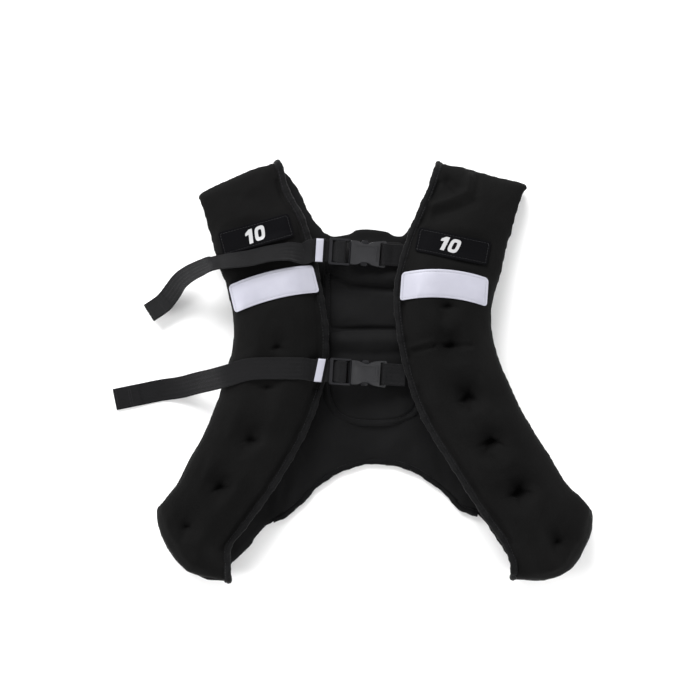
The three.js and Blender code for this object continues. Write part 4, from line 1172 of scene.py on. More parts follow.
@dataclass
class WeightFigures:
    """Plain slanted figures that state the load, printed thickly on a label patch."""

    name: str
    patch: SewnPatch
    middle: tuple = (0.0, 0.0)
    tall: float = 15.5
    slant: float = 0.22
    turn: float = 0.0
    raised: float = 0.35

    def outlines(self) -> list:
        """Outlines of the figures one and nought, in shares of their height.

        Returns:
            An outer ring for each figure and, for the nought, its hole.
        """
        one = np.array([
            [0.0, 0.62], [0.0, 0.8], [0.26, 1.0], [0.52, 1.0], [0.52, 0.0], [0.24, 0.0], [0.24, 0.66],
        ])
        rings = [(one, None)]
        angle = np.linspace(0, 2 * math.pi, 49)[:-1]
        bent = np.stack([np.cos(angle), np.sin(angle)], 1)
        squared = np.sign(bent) * np.abs(bent) ** 0.62
        outer = squared * [0.37, 0.5] + [1.06, 0.5]
        hole = squared * [0.13, 0.27] + [1.06, 0.5]
        rings.append((outer, hole))
        return rings

    def build(self) -> bpy.types.Object:
        """Lays the figures on the patch.

        Returns:
            The finished object.
        """
        work = bmesh.new()
        for outer, hole in self.outlines():
            if hole is None:
                work.faces.new([work.verts.new((x, y, 0)) for x, y in outer])
                continue
            a = [work.verts.new((x, y, 0)) for x, y in outer]
            b = [work.verts.new((x, y, 0)) for x, y in hole]
            for k in range(len(a)):
                j = (k + 1) % len(a)
                work.faces.new((a[k], a[j], b[j], b[k]))
        bmesh.ops.triangulate(work, faces=work.faces)
        for _ in range(3):
            long = [e for e in work.edges if e.calc_length() > 0.12]
            bmesh.ops.subdivide_edges(work, edges=long, cuts=1)
            bmesh.ops.triangulate(work, faces=[f for f in work.faces if len(f.verts) > 3])
        solid = bmesh.ops.extrude_face_region(work, geom=list(work.faces))
        raised = [g for g in solid["geom"] if isinstance(g, bmesh.types.BMVert)]
        bmesh.ops.translate(work, verts=raised, vec=(0, 0, 1))
        bmesh.ops.recalc_face_normals(work, faces=work.faces)
        mesh = bpy.data.meshes.new(self.name)
        work.to_mesh(mesh)
        work.free()
        obj = bpy.data.objects.new(self.name, mesh)
        bpy.context.scene.collection.objects.link(obj)
        co = np.empty(len(mesh.vertices) * 3)
        mesh.vertices.foreach_get("co", co)
        co = co.reshape(-1, 3)
        x = (co[:, 0] - 0.72 + self.slant * (co[:, 1] - 0.5)) * self.tall
        y = (co[:, 1] - 0.5) * self.tall
        spin = math.radians(self.turn)
        u = (x * math.cos(spin) - y * math.sin(spin)) / (self.patch.length / 2) + self.middle[0]
        v = (x * math.sin(spin) + y * math.cos(spin)) / (self.patch.height / 2) + self.middle[1]
        places = self.patch.on_top(u, v, 0.0)
        places[:, 2] += np.where(co[:, 2] > 0.5, self.raised, -0.25)
        set_places(obj, places)
        obj.data.shade_flat()
        PRINT.dress(obj)
        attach(obj, "root")
        return obj


def stitch_tree() -> bpy.types.NodeTree:
    """Geometry Nodes tree that lays small bars along lines, built once.

    Returns:
        The tree, with inputs Pitch, Length, Width, Height and Thread.
    """
    name = "bars_along_lines"
    if name in bpy.data.node_groups:
        return bpy.data.node_groups[name]
    tree = bpy.data.node_groups.new(name, "GeometryNodeTree")
    face = tree.interface
    face.new_socket(name="Geometry", in_out="INPUT", socket_type="NodeSocketGeometry")
    for key, value in (("Pitch", 0.003), ("Length", 0.0024), ("Width", 0.0006), ("Height", 0.0005)):
        face.new_socket(name=key, in_out="INPUT", socket_type="NodeSocketFloat").default_value = value
    face.new_socket(name="Thread", in_out="INPUT", socket_type="NodeSocketMaterial")
    face.new_socket(name="Geometry", in_out="OUTPUT", socket_type="NodeSocketGeometry")
    n = Nodes(tree)
    start, end = tree.nodes.new("NodeGroupInput"), tree.nodes.new("NodeGroupOutput")
    ask = start.outputs
    curve = n.put("GeometryNodeMeshToCurve", {0: ask["Geometry"]}).outputs[0]
    spaced = {"Curve": curve, "Length": ask["Pitch"]}
    dots = n.put("GeometryNodeResampleCurve", spaced, mode="LENGTH").outputs[0]
    ball = n.put("GeometryNodeMeshUVSphere", {"Segments": 6, "Rings": 4, "Radius": 0.5}).outputs["Mesh"]
    size = n.put("ShaderNodeCombineXYZ", {0: ask["Width"], 1: ask["Height"], 2: ask["Length"]}).outputs[0]
    bar = n.put("GeometryNodeTransform", {"Geometry": ball, "Scale": size}).outputs[0]
    tangent = n.put("GeometryNodeInputTangent").outputs[0]
    turned = n.put("FunctionNodeAlignRotationToVector", {"Vector": tangent}, axis="Z").outputs[0]
    spread = {"Points": dots, "Instance": bar, "Rotation": turned}
    laid = n.put("GeometryNodeInstanceOnPoints", spread).outputs[0]
    real = n.put("GeometryNodeRealizeInstances", {0: laid}).outputs[0]
    smooth = n.put("GeometryNodeSetShadeSmooth", {0: real}).outputs[0]
    done = n.put("GeometryNodeSetMaterial", {"Geometry": smooth, "Material": ask["Thread"]}).outputs[0]
    tree.links.new(done, end.inputs[0])
    return tree


@dataclass
class StitchLines:
    """Lines of stitches, laid along paths by Geometry Nodes."""

    name: str
    paths: Sequence[np.ndarray]
    finish: Finish = THREAD
    slot: str = "binding_tape"
    pitch: float = 3.2
    long: float = 2.5
    wide: float = 0.7
    high: float = 0.6

    def build(self) -> bpy.types.Object:
        """Lays the stitches and keeps them as a plain mesh.

        Returns:
            The finished object.
        """
        places = np.vstack(self.paths)
        mesh = bpy.data.meshes.new(self.name)
        edges = []
        base = 0
        for path in self.paths:
            edges += [(base + k, base + k + 1) for k in range(len(path) - 1)]
            base += len(path)
        mesh.from_pydata((places * MM).tolist(), edges, [])
        obj = bpy.data.objects.new(self.name, mesh)
        bpy.context.scene.collection.objects.link(obj)
        sewing = obj.modifiers.new("sewing", "NODES")
        sewing.node_group = stitch_tree()
        sizes = {"Pitch": self.pitch * MM, "Length": self.long * MM, "Width": self.wide * MM,
                 "Height": self.high * MM, "Thread": self.finish.material()}
        for item in sewing.node_group.interface.items_tree:
            if item.in_out == "INPUT" and item.name in sizes:
                sewing[item.identifier] = sizes[item.name]
        settle(obj)
        self.finish.dress(obj)
        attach(obj, "root")
        return obj


def ribbon(
    name: str, path: np.ndarray, across: np.ndarray, thick: np.ndarray, width: float
) -> bpy.types.Object:
    """Woven band along a path, with rounded selvedges.

    Args:
        name: Name of the piece.
        path: Middle line in mm.
        across: Direction across the band at each place.
        thick: Thickness at each place in mm.
        width: Width in mm.

    Returns:
        The linked object.
    """
    tangent = unit(np.gradient(path, axis=0))
    normal = unit(np.cross(tangent, across))
    side = unit(np.cross(normal, tangent))
    side *= np.where(np.sum(side * across, axis=1) < 0, -1.0, 1.0)[:, None]
    top = [(-1.0, 0.15), (-0.985, 0.7), (-0.95, 1.06), (-0.88, 1.06), (-0.8, 0.97), (-0.5, 1.0), (-0.17, 1.0),
           (0.17, 1.0), (0.5, 1.0), (0.8, 0.97), (0.88, 1.06), (0.95, 1.06), (0.985, 0.7), (1.0, 0.15)]
    section = np.array(top + [(x, -z) for x, z in reversed(top)])
    rings = (path[:, None, :] + side[:, None, :] * (section[:, 0] * width / 2)[None, :, None]
             + normal[:, None, :] * (section[:, 1][None, :] * thick[:, None] / 2)[:, :, None])
    return tube(name, rings, lengths(path))


@dataclass
class Fastening:
    """One strap with its buckle, keeper and anchor: works out where each lies and makes the soft pieces."""

    level: str
    x: float
    y: float
    slant: float
    tail: np.ndarray
    yaw: float = -3.5
    bar_thickness: float = 2.2
    slot_width: float = 6.4
    mid_right: float = -7.4
    mid_left: float = -13.8
    ladder_end: float = -23.5
    end_bar_middle: float = 38.5
    end_bar_width: float = 3.0
    end_slot_width: float = 4.0
    keeper_length: float = 12.0
    keeper_wall: float = 1.0
    hem_length: float = 22.0
    dip: float = 0.8
    apart: float = 0.8

    def settle_heights(self, carrier: Surface, left: EdgeFrames, right: EdgeFrames) -> None:
        """Works out the heights and the tilt of the buckle.

        Args:
            carrier: Heights of the left front panel and its binding in the frame.
            left: Frames of the left bound edge.
            right: Frames of the right bound edge.
        """
        middle_x, middle_y = self.x * HALF_WIDTH, self.y * HALF_LENGTH
        heading = Matrix.Rotation(math.radians(self.yaw), 4, "Z")
        self.flat = Matrix.Translation((middle_x, middle_y, 0)) @ heading
        self.near = self.bar_thickness / 2 + GAP + WEBBING_THICKNESS / 2
        self.far = self.near + WEBBING_THICKNESS + GAP
        self.keeper_run = self.ladder_end - 4 - self.keeper_length / 2
        self.keeper_half = WEBBING_WIDTH / 2 + GAP + self.keeper_wall
        self.keeper_stack = WEBBING_THICKNESS * 2 + GAP * 3
        corners = [self.flat @ Vector((self.keeper_run + a * self.keeper_length / 2, b * self.keeper_half, 0))
                   for a in (-1, 0, 1) for b in (-1, 0, 1)]
        tops = [z + TAPE_HALF for z in self.edge_heights(left, middle_y)]
        tops += [carrier.highest(c.x, c.y, 3.0) for c in corners]
        self.left_top = max(tops)
        right_low = min(self.edge_heights(right, middle_y)) - TAPE_HALF
        self.anchor_middle = right_low - GAP * 1.5 - WEBBING_THICKNESS
        self.keeper_middle = self.left_top + GAP + self.keeper_wall + self.keeper_stack / 2
        ladder_middle = self.keeper_middle - self.dip + (self.near + self.far) / 2
        pitch = math.asin((ladder_middle - self.anchor_middle) / (self.end_bar_middle - self.ladder_end))
        height = ladder_middle + math.sin(pitch) * self.ladder_end
        place = Matrix.Translation((middle_x, middle_y, height))
        self.spot = place @ heading @ Matrix.Rotation(pitch, 4, "Y")
        turn = math.radians(self.yaw)
        self.across = np.array([-math.sin(turn), math.cos(turn), 0.0])
        self.slope = math.tan(math.radians(self.slant))

    def edge_heights(self, frames: EdgeFrames, y: float) -> list:
        """Heights of a bound edge where the webbing crosses it."""
        near = (frames.normal[:, 2] > 0.99) & (np.abs(frames.edge[:, 1] - y) < WEBBING_WIDTH * 0.75)
        return frames.edge[near, 2].tolist()

    def on_buckle(self, run: float, rise: float) -> list:
        """Place measured on the buckle."""
        return list(self.spot @ Vector((run, 0, rise)))

    def on_level(self, run: float, high: float) -> list:
        """Place along the strap's line at a height over the floor."""
        place = self.flat @ Vector((run, 0, 0))
        return [place.x, place.y, high]

    def in_keeper(self, side: float, rise: float, more: float) -> list:
        """Place at an end of the straight run inside the keeper."""
        straight = self.keeper_length / 2 + abs(self.slope) * self.keeper_half + GAP
        return self.on_level(self.keeper_run + side * (straight + more), self.keeper_middle + rise)

    def dress(self, obj: bpy.types.Object, finish: Finish, slot: str, node: str) -> bpy.types.Object:
        """Finishes a piece that stands for a node.

        Args:
            obj: Piece to finish.
            finish: Its finish.
            slot: Its material slot; not used.
            node: The CAD node that it stands for.

        Returns:
            The finished object.
        """
        finish.dress(obj)
        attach(obj, "root")
        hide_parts(node)
        return obj

    def anchor(self) -> bpy.types.Object:
        """Webbing loop from under the right panel round the end bar of the buckle.

        Returns:
            The finished object.
        """
        loop = 1.9 + GAP + WEBBING_THICKNESS / 2
        sewn = WEBBING_THICKNESS / 2 + GAP / 2
        end = self.end_bar_middle + 22
        face = self.end_bar_middle - self.end_bar_width / 2 + GAP
        turns = [self.on_buckle(face - 0.62 * self.end_slot_width * math.cos(a), loop * math.sin(a))
                 for a in np.radians(np.linspace(-90, 90, 13))]
        path = [
            self.on_level(end, self.anchor_middle - sewn),
            self.on_level(self.end_bar_middle + 8, self.anchor_middle - sewn),
            self.on_buckle(self.end_bar_middle + 1.6, -loop),
            *turns,
            self.on_buckle(self.end_bar_middle + 1.6, loop),
            self.on_level(self.end_bar_middle + 8, self.anchor_middle + sewn),
            self.on_level(end, self.anchor_middle + sewn),
        ]
        line = relaxed(resampled(np.array(path), 0.6), 3)
        across = np.tile(self.across, (len(line), 1))
        thick = np.full(len(line), WEBBING_THICKNESS)
        obj = ribbon(f"{self.level}_anchor_loop", line, across, thick, WEBBING_WIDTH)
        return self.dress(obj, WEBBING, "webbing", f"{self.level}_anchor_webbing")

    def tail_path(self, start: np.ndarray, under: Surface) -> np.ndarray:
        """Free tail over what lies under it, with its direction across and thickness.

        Args:
            start: Where the strap leaves the keeper.
            under: Heights of the dressed panel, its binding and its patches.

        Returns:
            Rows of place, direction across and thickness.
        """
        spots = np.hstack([self.tail[:, :2] * [HALF_WIDTH, HALF_LENGTH], np.zeros((len(self.tail), 1))])
        places = np.vstack([[*start[:2], 0.0], spots])
        numbers = np.vstack([[0.0, 0.0], self.tail[:, 2:4]])
        count = (len(places) - 1) * 12
        shares = (np.arange(count) + 1) / count
        line = spline(places, shares)
        values = spline(np.hstack([numbers, np.zeros((len(numbers), 1))]), shares)
        run = unit(np.gradient(line, axis=0))
        roll = np.radians(values[:, 0])
        flat = np.stack([run[:, 1], -run[:, 0], np.zeros(count)], axis=1)
        across = flat * np.cos(roll)[:, None] - np.array([0, 0, 1.0]) * np.sin(roll)[:, None]
        total = lengths(line)[-1]
        folded = (1 - shares) * total < self.hem_length
        thick = np.where(folded, WEBBING_THICKNESS * 2, WEBBING_THICKNESS)
        clear = np.zeros(count)
        for k in range(count):
            for offset in np.linspace(-0.5, 0.5, 7):
                reach = offset * WEBBING_WIDTH
                x, y = line[k, 0] + across[k, 0] * reach, line[k, 1] + across[k, 1] * reach
                clear[k] = max(clear[k], under.highest(x, y, 1.0) - across[k, 2] * reach)
        clear += GAP + thick / 2
        carried = (values[:, 1] < 0.05) & (shares < 0.7)
        leaving = clear[carried][-1] if carried.any() else clear[0]
        height = np.maximum(clear, np.maximum(0, values[:, 1]) * leaving)
        level = height.copy()
        for _ in range(TAIL_PASSES):
            blurred = np.convolve(np.pad(level, 1, mode="edge"), [0.25, 0.5, 0.25], "valid")
            level = np.maximum(clear, blurred)
        line[:, 2] = level
        keep = np.hypot(line[:, 0] - start[0], line[:, 1] - start[1]) > WEBBING_WIDTH / 3
        return np.hstack([line, across, thick[:, None]])[keep]

    def strap(self, under: Surface) -> bpy.types.Object:
        """Adjusting strap: under the keeper, up through the ladder, back through the keeper, then the tail.

        Args:
            under: Heights of what the tail lies on.

        Returns:
            The finished object.
        """
        sewn = [
            self.in_keeper(-1, -self.apart, 0.5), self.in_keeper(1, -self.apart, 0.5),
            self.on_buckle(self.ladder_end + 1, -self.far), self.on_buckle(self.mid_left, -self.far),
            self.on_buckle(self.mid_right - 1, -self.far),
        ]
        turn = [self.on_buckle(self.mid_right - 0.4 + 0.5 * self.slot_width * math.cos(a),
                               (self.near - self.far) / 2 + (self.near + self.far) / 2 * math.sin(a))
                for a in np.radians(np.linspace(-80, 80, 9))]
        down = [self.on_buckle(self.mid_left + 0.6 - share * (self.slot_width + 0.8),
                               self.near * math.cos(math.pi * share)) for share in np.linspace(0, 1, 9)]
        out = [self.on_buckle(self.ladder_end + 1, -self.near), self.in_keeper(1, self.apart, 0.5),
               self.in_keeper(-1, self.apart, 0), self.in_keeper(-1, self.apart, 2)]
        line = np.array(sewn + turn + down + out)
        tail = self.tail_path(line[-1], under)
        thick = np.full((len(line), 1), WEBBING_THICKNESS)
        held = np.hstack([line, np.tile(self.across, (len(line), 1)), thick])
        tail[:, 3:6] *= np.where(tail[:, 3:6] @ self.across < 0, -1.0, 1.0)[:, None]
        rows = resampled(np.vstack([held, tail]), 0.8)
        rows[:, :3] = relaxed(rows, 3)[:, :3]
        rows[:, 3:6] = unit(relaxed(rows, 40)[:, 3:6])
        self.path = rows
        obj = ribbon(f"{self.level}_webbing_strap", rows[:, :3], rows[:, 3:6], rows[:, 6], WEBBING_WIDTH)
        return self.dress(obj, WEBBING, "webbing", f"{self.level}_strap")

    def hem_lines(self) -> list:
        """Stitch lines across the folded hem at the end of the tail.

        Returns:
            One line of places in mm for each row of stitches.
        """
        run = lengths(self.path[:, :3])
        lines = []
        for back in (3.0, 17.0, 19.5):
            k = int(np.argmin(np.abs(run - (run[-1] - back))))
            at, across = self.path[k, :3], self.path[k, 3:6]
            ahead = unit(self.path[k, :3] - self.path[k - 2, :3])
            normal = unit(np.cross(ahead, across))
            normal = normal if normal[2] > 0 else -normal
            shares = np.linspace(-0.42, 0.42, 9)[:, None] * WEBBING_WIDTH
            lines.append(at + across * shares + normal * WEBBING_THICKNESS * 1.02)
        return lines

    def keeper(self) -> bpy.types.Object:
        """Elastic loop round both layers of the strap.

        Returns:
            The finished object.
        """
        angle = np.linspace(0, 2 * math.pi, 73)[:-1]
        bent = np.stack([np.cos(angle), np.sin(angle)], axis=1)
        rounded = np.sign(bent) * np.abs(bent) ** np.array([0.18, 0.5])
        half = np.array([WEBBING_WIDTH / 2 + GAP, self.keeper_stack / 2])
        wide = np.linspace(-1, 1, 9)
        outside = [(w * self.keeper_length / 2, 1.0 - 0.35 * abs(w) ** 6) for w in wide]
        inside = [(w * self.keeper_length / 2, 0.0) for w in wide[::-1]]
        rings = []
        for side in rounded:
            ring = []
            for run, out in [*outside, *inside]:
                y, z = side * (half + out * self.keeper_wall)
                ring.append(self.flat @ Vector((self.keeper_run + run - y * self.slope, y, 0)))
                ring[-1].z = self.keeper_middle + z
            rings.append(ring)
        rings.append(rings[0])
        obj = tube(f"{self.level}_elastic_keeper", np.array(rings))
        work = bmesh.new()
        work.from_mesh(obj.data)
        bmesh.ops.delete(work, geom=[f for f in work.faces if len(f.verts) > 4], context="FACES_ONLY")
        bmesh.ops.remove_doubles(work, verts=work.verts, dist=1e-7)
        bmesh.ops.recalc_face_normals(work, faces=work.faces)
        work.to_mesh(obj.data)
        work.free()
        return self.dress(obj, TAPE, "webbing", f"{self.level}_keeper")

    def stripe(self) -> bpy.types.Object:
        """Pale stripe woven on the keeper, bent down at both ends.

        Returns:
            The finished object.
        """
        across = np.linspace(-1, 1, 25)
        along = np.array([-4.0, -3.7, 0.0, 3.7, 4.0])
        base = self.keeper_middle + self.keeper_stack / 2 + self.keeper_wall
        half = self.keeper_half - 0.6
        rings = []
        for share in across:
            drop = 1.6 * max(0.0, abs(share) - 0.86) ** 1.2 / 0.14 ** 0.2
            ring = []
            for face in (1, -1):
                for run in along[::face]:
                    soft = 0.0 if abs(run) < 3.9 else 0.15
                    ahead = self.keeper_run + run - share * half * self.slope
                    place = self.flat @ Vector((ahead, share * half, 0))
                    high = base + 0.12 - drop + (0.55 - soft if face > 0 else 0.0)
                    ring.append([place.x, place.y, high])
            rings.append(ring)
        obj = tube(f"{self.level}_pale_stripe", np.array(rings))
        return self.dress(obj, REFLECTIVE, "reflective", f"{self.level}_keeper_stripe")


def prism(name: str, outline: np.ndarray, low: float, high: float) -> bpy.types.Object:
    """Closed prism over an outline, in mm, for cutting and joining.

    Args:
        name: Name of the object.
        outline: Corners in plan.
        low: Height of the lower face.
        high: Height of the upper face.

    Returns:
        The linked object.
    """
    count = len(outline)
    area = np.sum(outline[:, 0] * np.roll(outline[:, 1], -1) - outline[:, 1] * np.roll(outline[:, 0], -1))
    ring = outline if area > 0 else outline[::-1]
    places = np.vstack([np.column_stack([ring, np.full(count, z)]) for z in (low, high)])
    faces = [list(range(count))[::-1], list(range(count, 2 * count))]
    faces += [[k, (k + 1) % count, count + (k + 1) % count, count + k] for k in range(count)]
    return new_object(name, places, faces, 1.0)


def box_prism(name: str, low_x: float, high_x: float, middle_y: float, half_y: float, half_z: float,
              middle_z: float = 0.0, corner: float = 0.0) -> bpy.types.Object:
    """Closed box in mm, with rounded corners in plan where corner is more than 0.

    Args:
        name: Name of the object.
        low_x: Start along the buckle.
        high_x: End along it.
        middle_y: Middle across it.
        half_y: Half width.
        half_z: Half height.
        middle_z: Middle height.
        corner: Radius of the corners.

    Returns:
        The linked object.
    """
    if corner <= 0:
        outline = [(low_x, middle_y - half_y), (high_x, middle_y - half_y), (high_x, middle_y + half_y),
                   (low_x, middle_y + half_y)]
    else:
        outline = []
        left, right = low_x + corner, high_x - corner
        low_y, high_y = middle_y - half_y + corner, middle_y + half_y - corner
        rounds = ((right, high_y, 0), (left, high_y, 90), (left, low_y, 180), (right, low_y, 270))
        for cx, cy, start in rounds:
            for angle in np.radians(np.linspace(start, start + 90, 6)):
                outline.append((cx + corner * math.cos(angle), cy + corner * math.sin(angle)))
    return prism(name, np.array(outline, float), middle_z - half_z, middle_z + half_z)


def combined(base: bpy.types.Object, others: Sequence[bpy.types.Object], operation: str) -> bpy.types.Object:
    """Joins other solids to a solid or cuts them from it, and removes them.

    Args:
        base: The solid that stays.
        others: The solids used up.
        operation: UNION or DIFFERENCE.

    Returns:
        The base.
    """
    for other in others:
        step = base.modifiers.new("step", "BOOLEAN")
        step.operation = operation
        step.solver = "EXACT"
        step.object = other
    settle(base)
    for other in others:
        mesh = other.data
        bpy.data.objects.remove(other)
        bpy.data.meshes.remove(mesh)
    return base


@dataclass
class SideReleaseBuckle:
    """Side release buckle in two halves, with softened edges and moulded details."""

    level: str
    spot: Matrix
    thickness: float = 8.6
    half: float = 14.5
    body: float = 40.0
    rail: float = 2.1
    shoulder: float = -1.0
    mid_right: float = -7.4
    mid_left: float = -13.8
    left_right: float = -20.2
    ladder_end: float = -23.5
    waist_start: float = 11.0
    waist_end: float = 21.0
    prong: float = 24.0
    slot_start: float = 33.0
    end_bar: float = 3.0

    def outline(self, rows: Sequence[tuple], smooth: int) -> np.ndarray:
        """Smooth closed outline from runs and shares of the half width, mirrored about the middle.

        Args:
            rows: Run and share of the half width at each corner.
            smooth: Places for each corner.

        Returns:
            Places in plan in mm.
        """
        side = np.array([(run, share * self.half, 0.0) for run, share in rows])
        fine = spline(side, np.linspace(0, 1, (len(side) - 1) * smooth + 1))[:, :2]
        return np.vstack([fine, fine[::-1] * [1, -1]])

    def body_half(self) -> bpy.types.Object:
        """Female half: waisted body with a mouth, side windows, a recess on each face and an end bar.

        Returns:
            The finished object.
        """
        rows = [
            (0.3, 0.86), (1.2, 0.9), (5, 0.9), (9, 0.85), (12.5, 0.72), (16.5, 0.67), (20.5, 0.73),
            (25, 0.87), (31, 0.95), (37.5, 1.0), (39.2, 0.99), (self.body, 0.93),
        ]
        face_height = self.thickness / 2
        base = prism(f"{self.level}_buckle_body", self.outline(rows, 5), -face_height, face_height)
        mouth, step = 1.9, 2.4
        low = face_height - step
        beside, window_half = self.half * 0.9, self.half * 0.3
        cutters = [
            box_prism("cut", -1, self.slot_start - 2.5, 0, self.half * 0.74, mouth, corner=0.8),
            box_prism("cut", self.waist_start, self.waist_end, beside, window_half, mouth, corner=0.8),
            box_prism("cut", self.waist_start, self.waist_end, -beside, window_half, mouth, corner=0.8),
            box_prism("cut", self.slot_start, self.body - self.end_bar, 0, 12.6, self.thickness, corner=0.7),
            box_prism("cut", self.slot_start - 1, self.body + 5, 0, self.half * 2, step, low + step),
            box_prism("cut", self.slot_start - 1, self.body + 5, 0, self.half * 2, step, -low - step),
        ]
        for face in (1, -1):
            middle = face * (face_height + 0.05)
            cutters.append(box_prism("cut", 4.5, 27.5, 0, 7.6, 0.5, middle, corner=3.0))
            for run in (29.2, 30.4):
                cutters.append(box_prism("cut", run, run + 0.5, 0, 9.0, 0.35, face * face_height, corner=0.2))
        combined(base, cutters, "DIFFERENCE")
        return self.finished(base, 0.55, BODY_PLASTIC, f"{self.level}_buckle_female")

    def ladder_half(self) -> bpy.types.Object:
        """Male half: a ladder of three bars, a guide plate, a tongue and two prongs with ridged heads.

        Returns:
            The finished object.
        """
        end = self.shoulder + 0.8
        slot = self.half - self.rail
        base = box_prism(f"{self.level}_buckle_ladder", self.ladder_end, end, 0, self.half, 1.1, corner=2.0)
        combined(base, [
            box_prism("cut", self.mid_right, self.shoulder, 0, slot, 3.0, corner=0.8),
            box_prism("cut", self.left_right, self.mid_left, 0, slot, 3.0, corner=0.8),
        ], "DIFFERENCE")
        parts = [
            box_prism("part", self.shoulder + 0.05, self.shoulder + 0.75, 0, slot, 2.6),
            box_prism("part", -1.0, self.prong * 0.8, 0, 1.7, 1.5),
        ]
        head = self.waist_end - 1.6
        for side in (1, -1):
            rail_y = side * (self.half - self.rail / 2)
            rail_half = self.rail / 2 - 0.02
            parts.append(box_prism("part", self.ladder_end + 2, self.shoulder + 0.6, rail_y, rail_half, 1.8,
                                   corner=0.5))
            rows = np.array([
                (self.shoulder, 0.5), (self.waist_start, 0.46), (head, 0.5), (self.prong, 0.55),
                (self.prong, 0.66), (head + 1.2, 0.7), (head + 0.4, 0.8), (head, 0.92),
                (head - 1.5, 0.955), (self.waist_start + 3, 0.955), (self.waist_start + 1.4, 0.9),
                (self.waist_start + 1.2, 0.66), (self.shoulder, 0.68),
            ])
            parts.append(prism("part", rows * [1, side * self.half], -1.5, 1.5))
        combined(base, parts, "UNION")
        return self.finished(base, 0.32, LADDER_PLASTIC, f"{self.level}_buckle_male")

    def ridges(self) -> list:
        """Lines of the grip ridges on the two release heads.

        Returns:
            One short line of places in mm for each ridge.
        """
        lines = []
        for run in np.arange(self.waist_start + 2.6, self.waist_end - 2.4, 1.15):
            for side in (1, -1):
                a = self.spot @ Vector((run, side * self.half * 0.955, -1.1))
                b = self.spot @ Vector((run, side * self.half * 0.955, 1.1))
                lines.append(np.array([list(a), list(a.lerp(b, 0.5)), list(b)]))
        return lines

    def finished(self, obj: bpy.types.Object, soft: float, finish: Finish, node: str) -> bpy.types.Object:
        """Softens the edges of a half, lays it in its place and dresses it.

        Args:
            obj: The half in its own mm.
            soft: Width of the softened edges in mm.
            finish: Its plastic.
            node: The CAD node that it stands for.

        Returns:
            The finished object.
        """
        work = bmesh.new()
        work.from_mesh(obj.data)
        bmesh.ops.remove_doubles(work, verts=work.verts, dist=1e-4)
        bmesh.ops.dissolve_limit(work, angle_limit=math.radians(0.5), verts=work.verts, edges=work.edges)
        work.to_mesh(obj.data)
        work.free()
        soften = obj.modifiers.new("soften", "BEVEL")
        soften.width = soft
        soften.segments = 3
        soften.limit_method = "ANGLE"
        soften.angle_limit = math.radians(BEVEL_ANGLE)
        soften.use_clamp_overlap = True
        settle(obj)
        obj.data.transform(Matrix.Scale(MM, 4) @ self.spot)
        obj.data.shade_smooth()
        obj.data.set_sharp_from_angle(angle=math.radians(SHARP_ANGLE))
        finish.dress(obj)
        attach(obj, "root")
        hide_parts(node)
        return obj


@dataclass
class Studio:
    """Pale floor, soft lights and the camera straight above."""

    middle_x: float = -24.2
    middle_y: float = 23.1
    across: float = 770.0
    distance: float = 3.0
    plane: float = 0.025
    floor_reach: float = 30000.0
    sky: float = 0.52

    def build(self) -> None:
        """Makes the floor, the lights, the world and the camera."""
        self.floor()
        self.light("key", (-0.9, 2.4, 1.75), (2.6, 1.3), 190.0)
        self.light("left_low", (-1.9, -0.5, 0.42), (0.6, 1.6), 48.0)
        self.light("right_low", (1.9, -0.5, 0.42), (0.6, 1.6), 52.0)
        self.light("front_low", (0.0, -1.9, 0.8), (1.8, 0.8), 12.0)
        scene = bpy.context.scene
        world = bpy.data.worlds.new("studio")
        world.use_nodes = True
        world.node_tree.nodes["Background"].inputs[0].default_value = (1.0, 1.0, 1.0, 1.0)
        world.node_tree.nodes["Background"].inputs[1].default_value = self.sky
        scene.world = world
        scene.view_settings.view_transform = "Standard"
        camera = bpy.data.cameras.new("camera")
        camera.type = "PERSP"
        camera.sensor_width = SENSOR_WIDTH
        camera.lens = SENSOR_WIDTH * (self.distance - self.plane) / (self.across * MM)
        holder = bpy.data.objects.new("camera", camera)
        holder.location = (self.middle_x * MM, self.middle_y * MM, self.distance)
        scene.collection.objects.link(holder)
        scene.camera = holder

    def floor(self) -> None:
        """Pale plain floor."""
        signs = ((-1, -1), (1, -1), (1, 1), (-1, 1))
        places = [[x * self.floor_reach, y * self.floor_reach, -FLOOR_CLEARANCE] for x, y in signs]
        obj = new_object("floor", np.array(places), [[0, 1, 2, 3]])
        mat = bpy.data.materials.new("pale_floor")
        mat.use_nodes = True
        shader = mat.node_tree.nodes["Principled BSDF"]
        shader.inputs["Base Color"].default_value = (0.93, 0.93, 0.93, 1.0)
        shader.inputs["Roughness"].default_value = 0.9
        obj.data.materials.append(mat)

    def light(self, name: str, place: tuple, size: tuple, power: float) -> None:
        """Soft rectangular light aimed at the vest.

        Args:
            name: Name of the light.
            place: Its place in metres.
            size: Its width and height in metres.
            power: Its power in watts.
        """
        lamp = bpy.data.lights.new(name, "AREA")
        lamp.shape = "RECTANGLE"
        lamp.size, lamp.size_y = size
        lamp.energy = power
        holder = bpy.data.objects.new(name, lamp)
        holder.location = place
        aim = Vector((self.middle_x * MM, self.middle_y * MM, 0)) - Vector(place)
        holder.rotation_euler = aim.to_track_quat("-Z", "Y").to_euler()
        bpy.context.scene.collection.objects.link(holder)


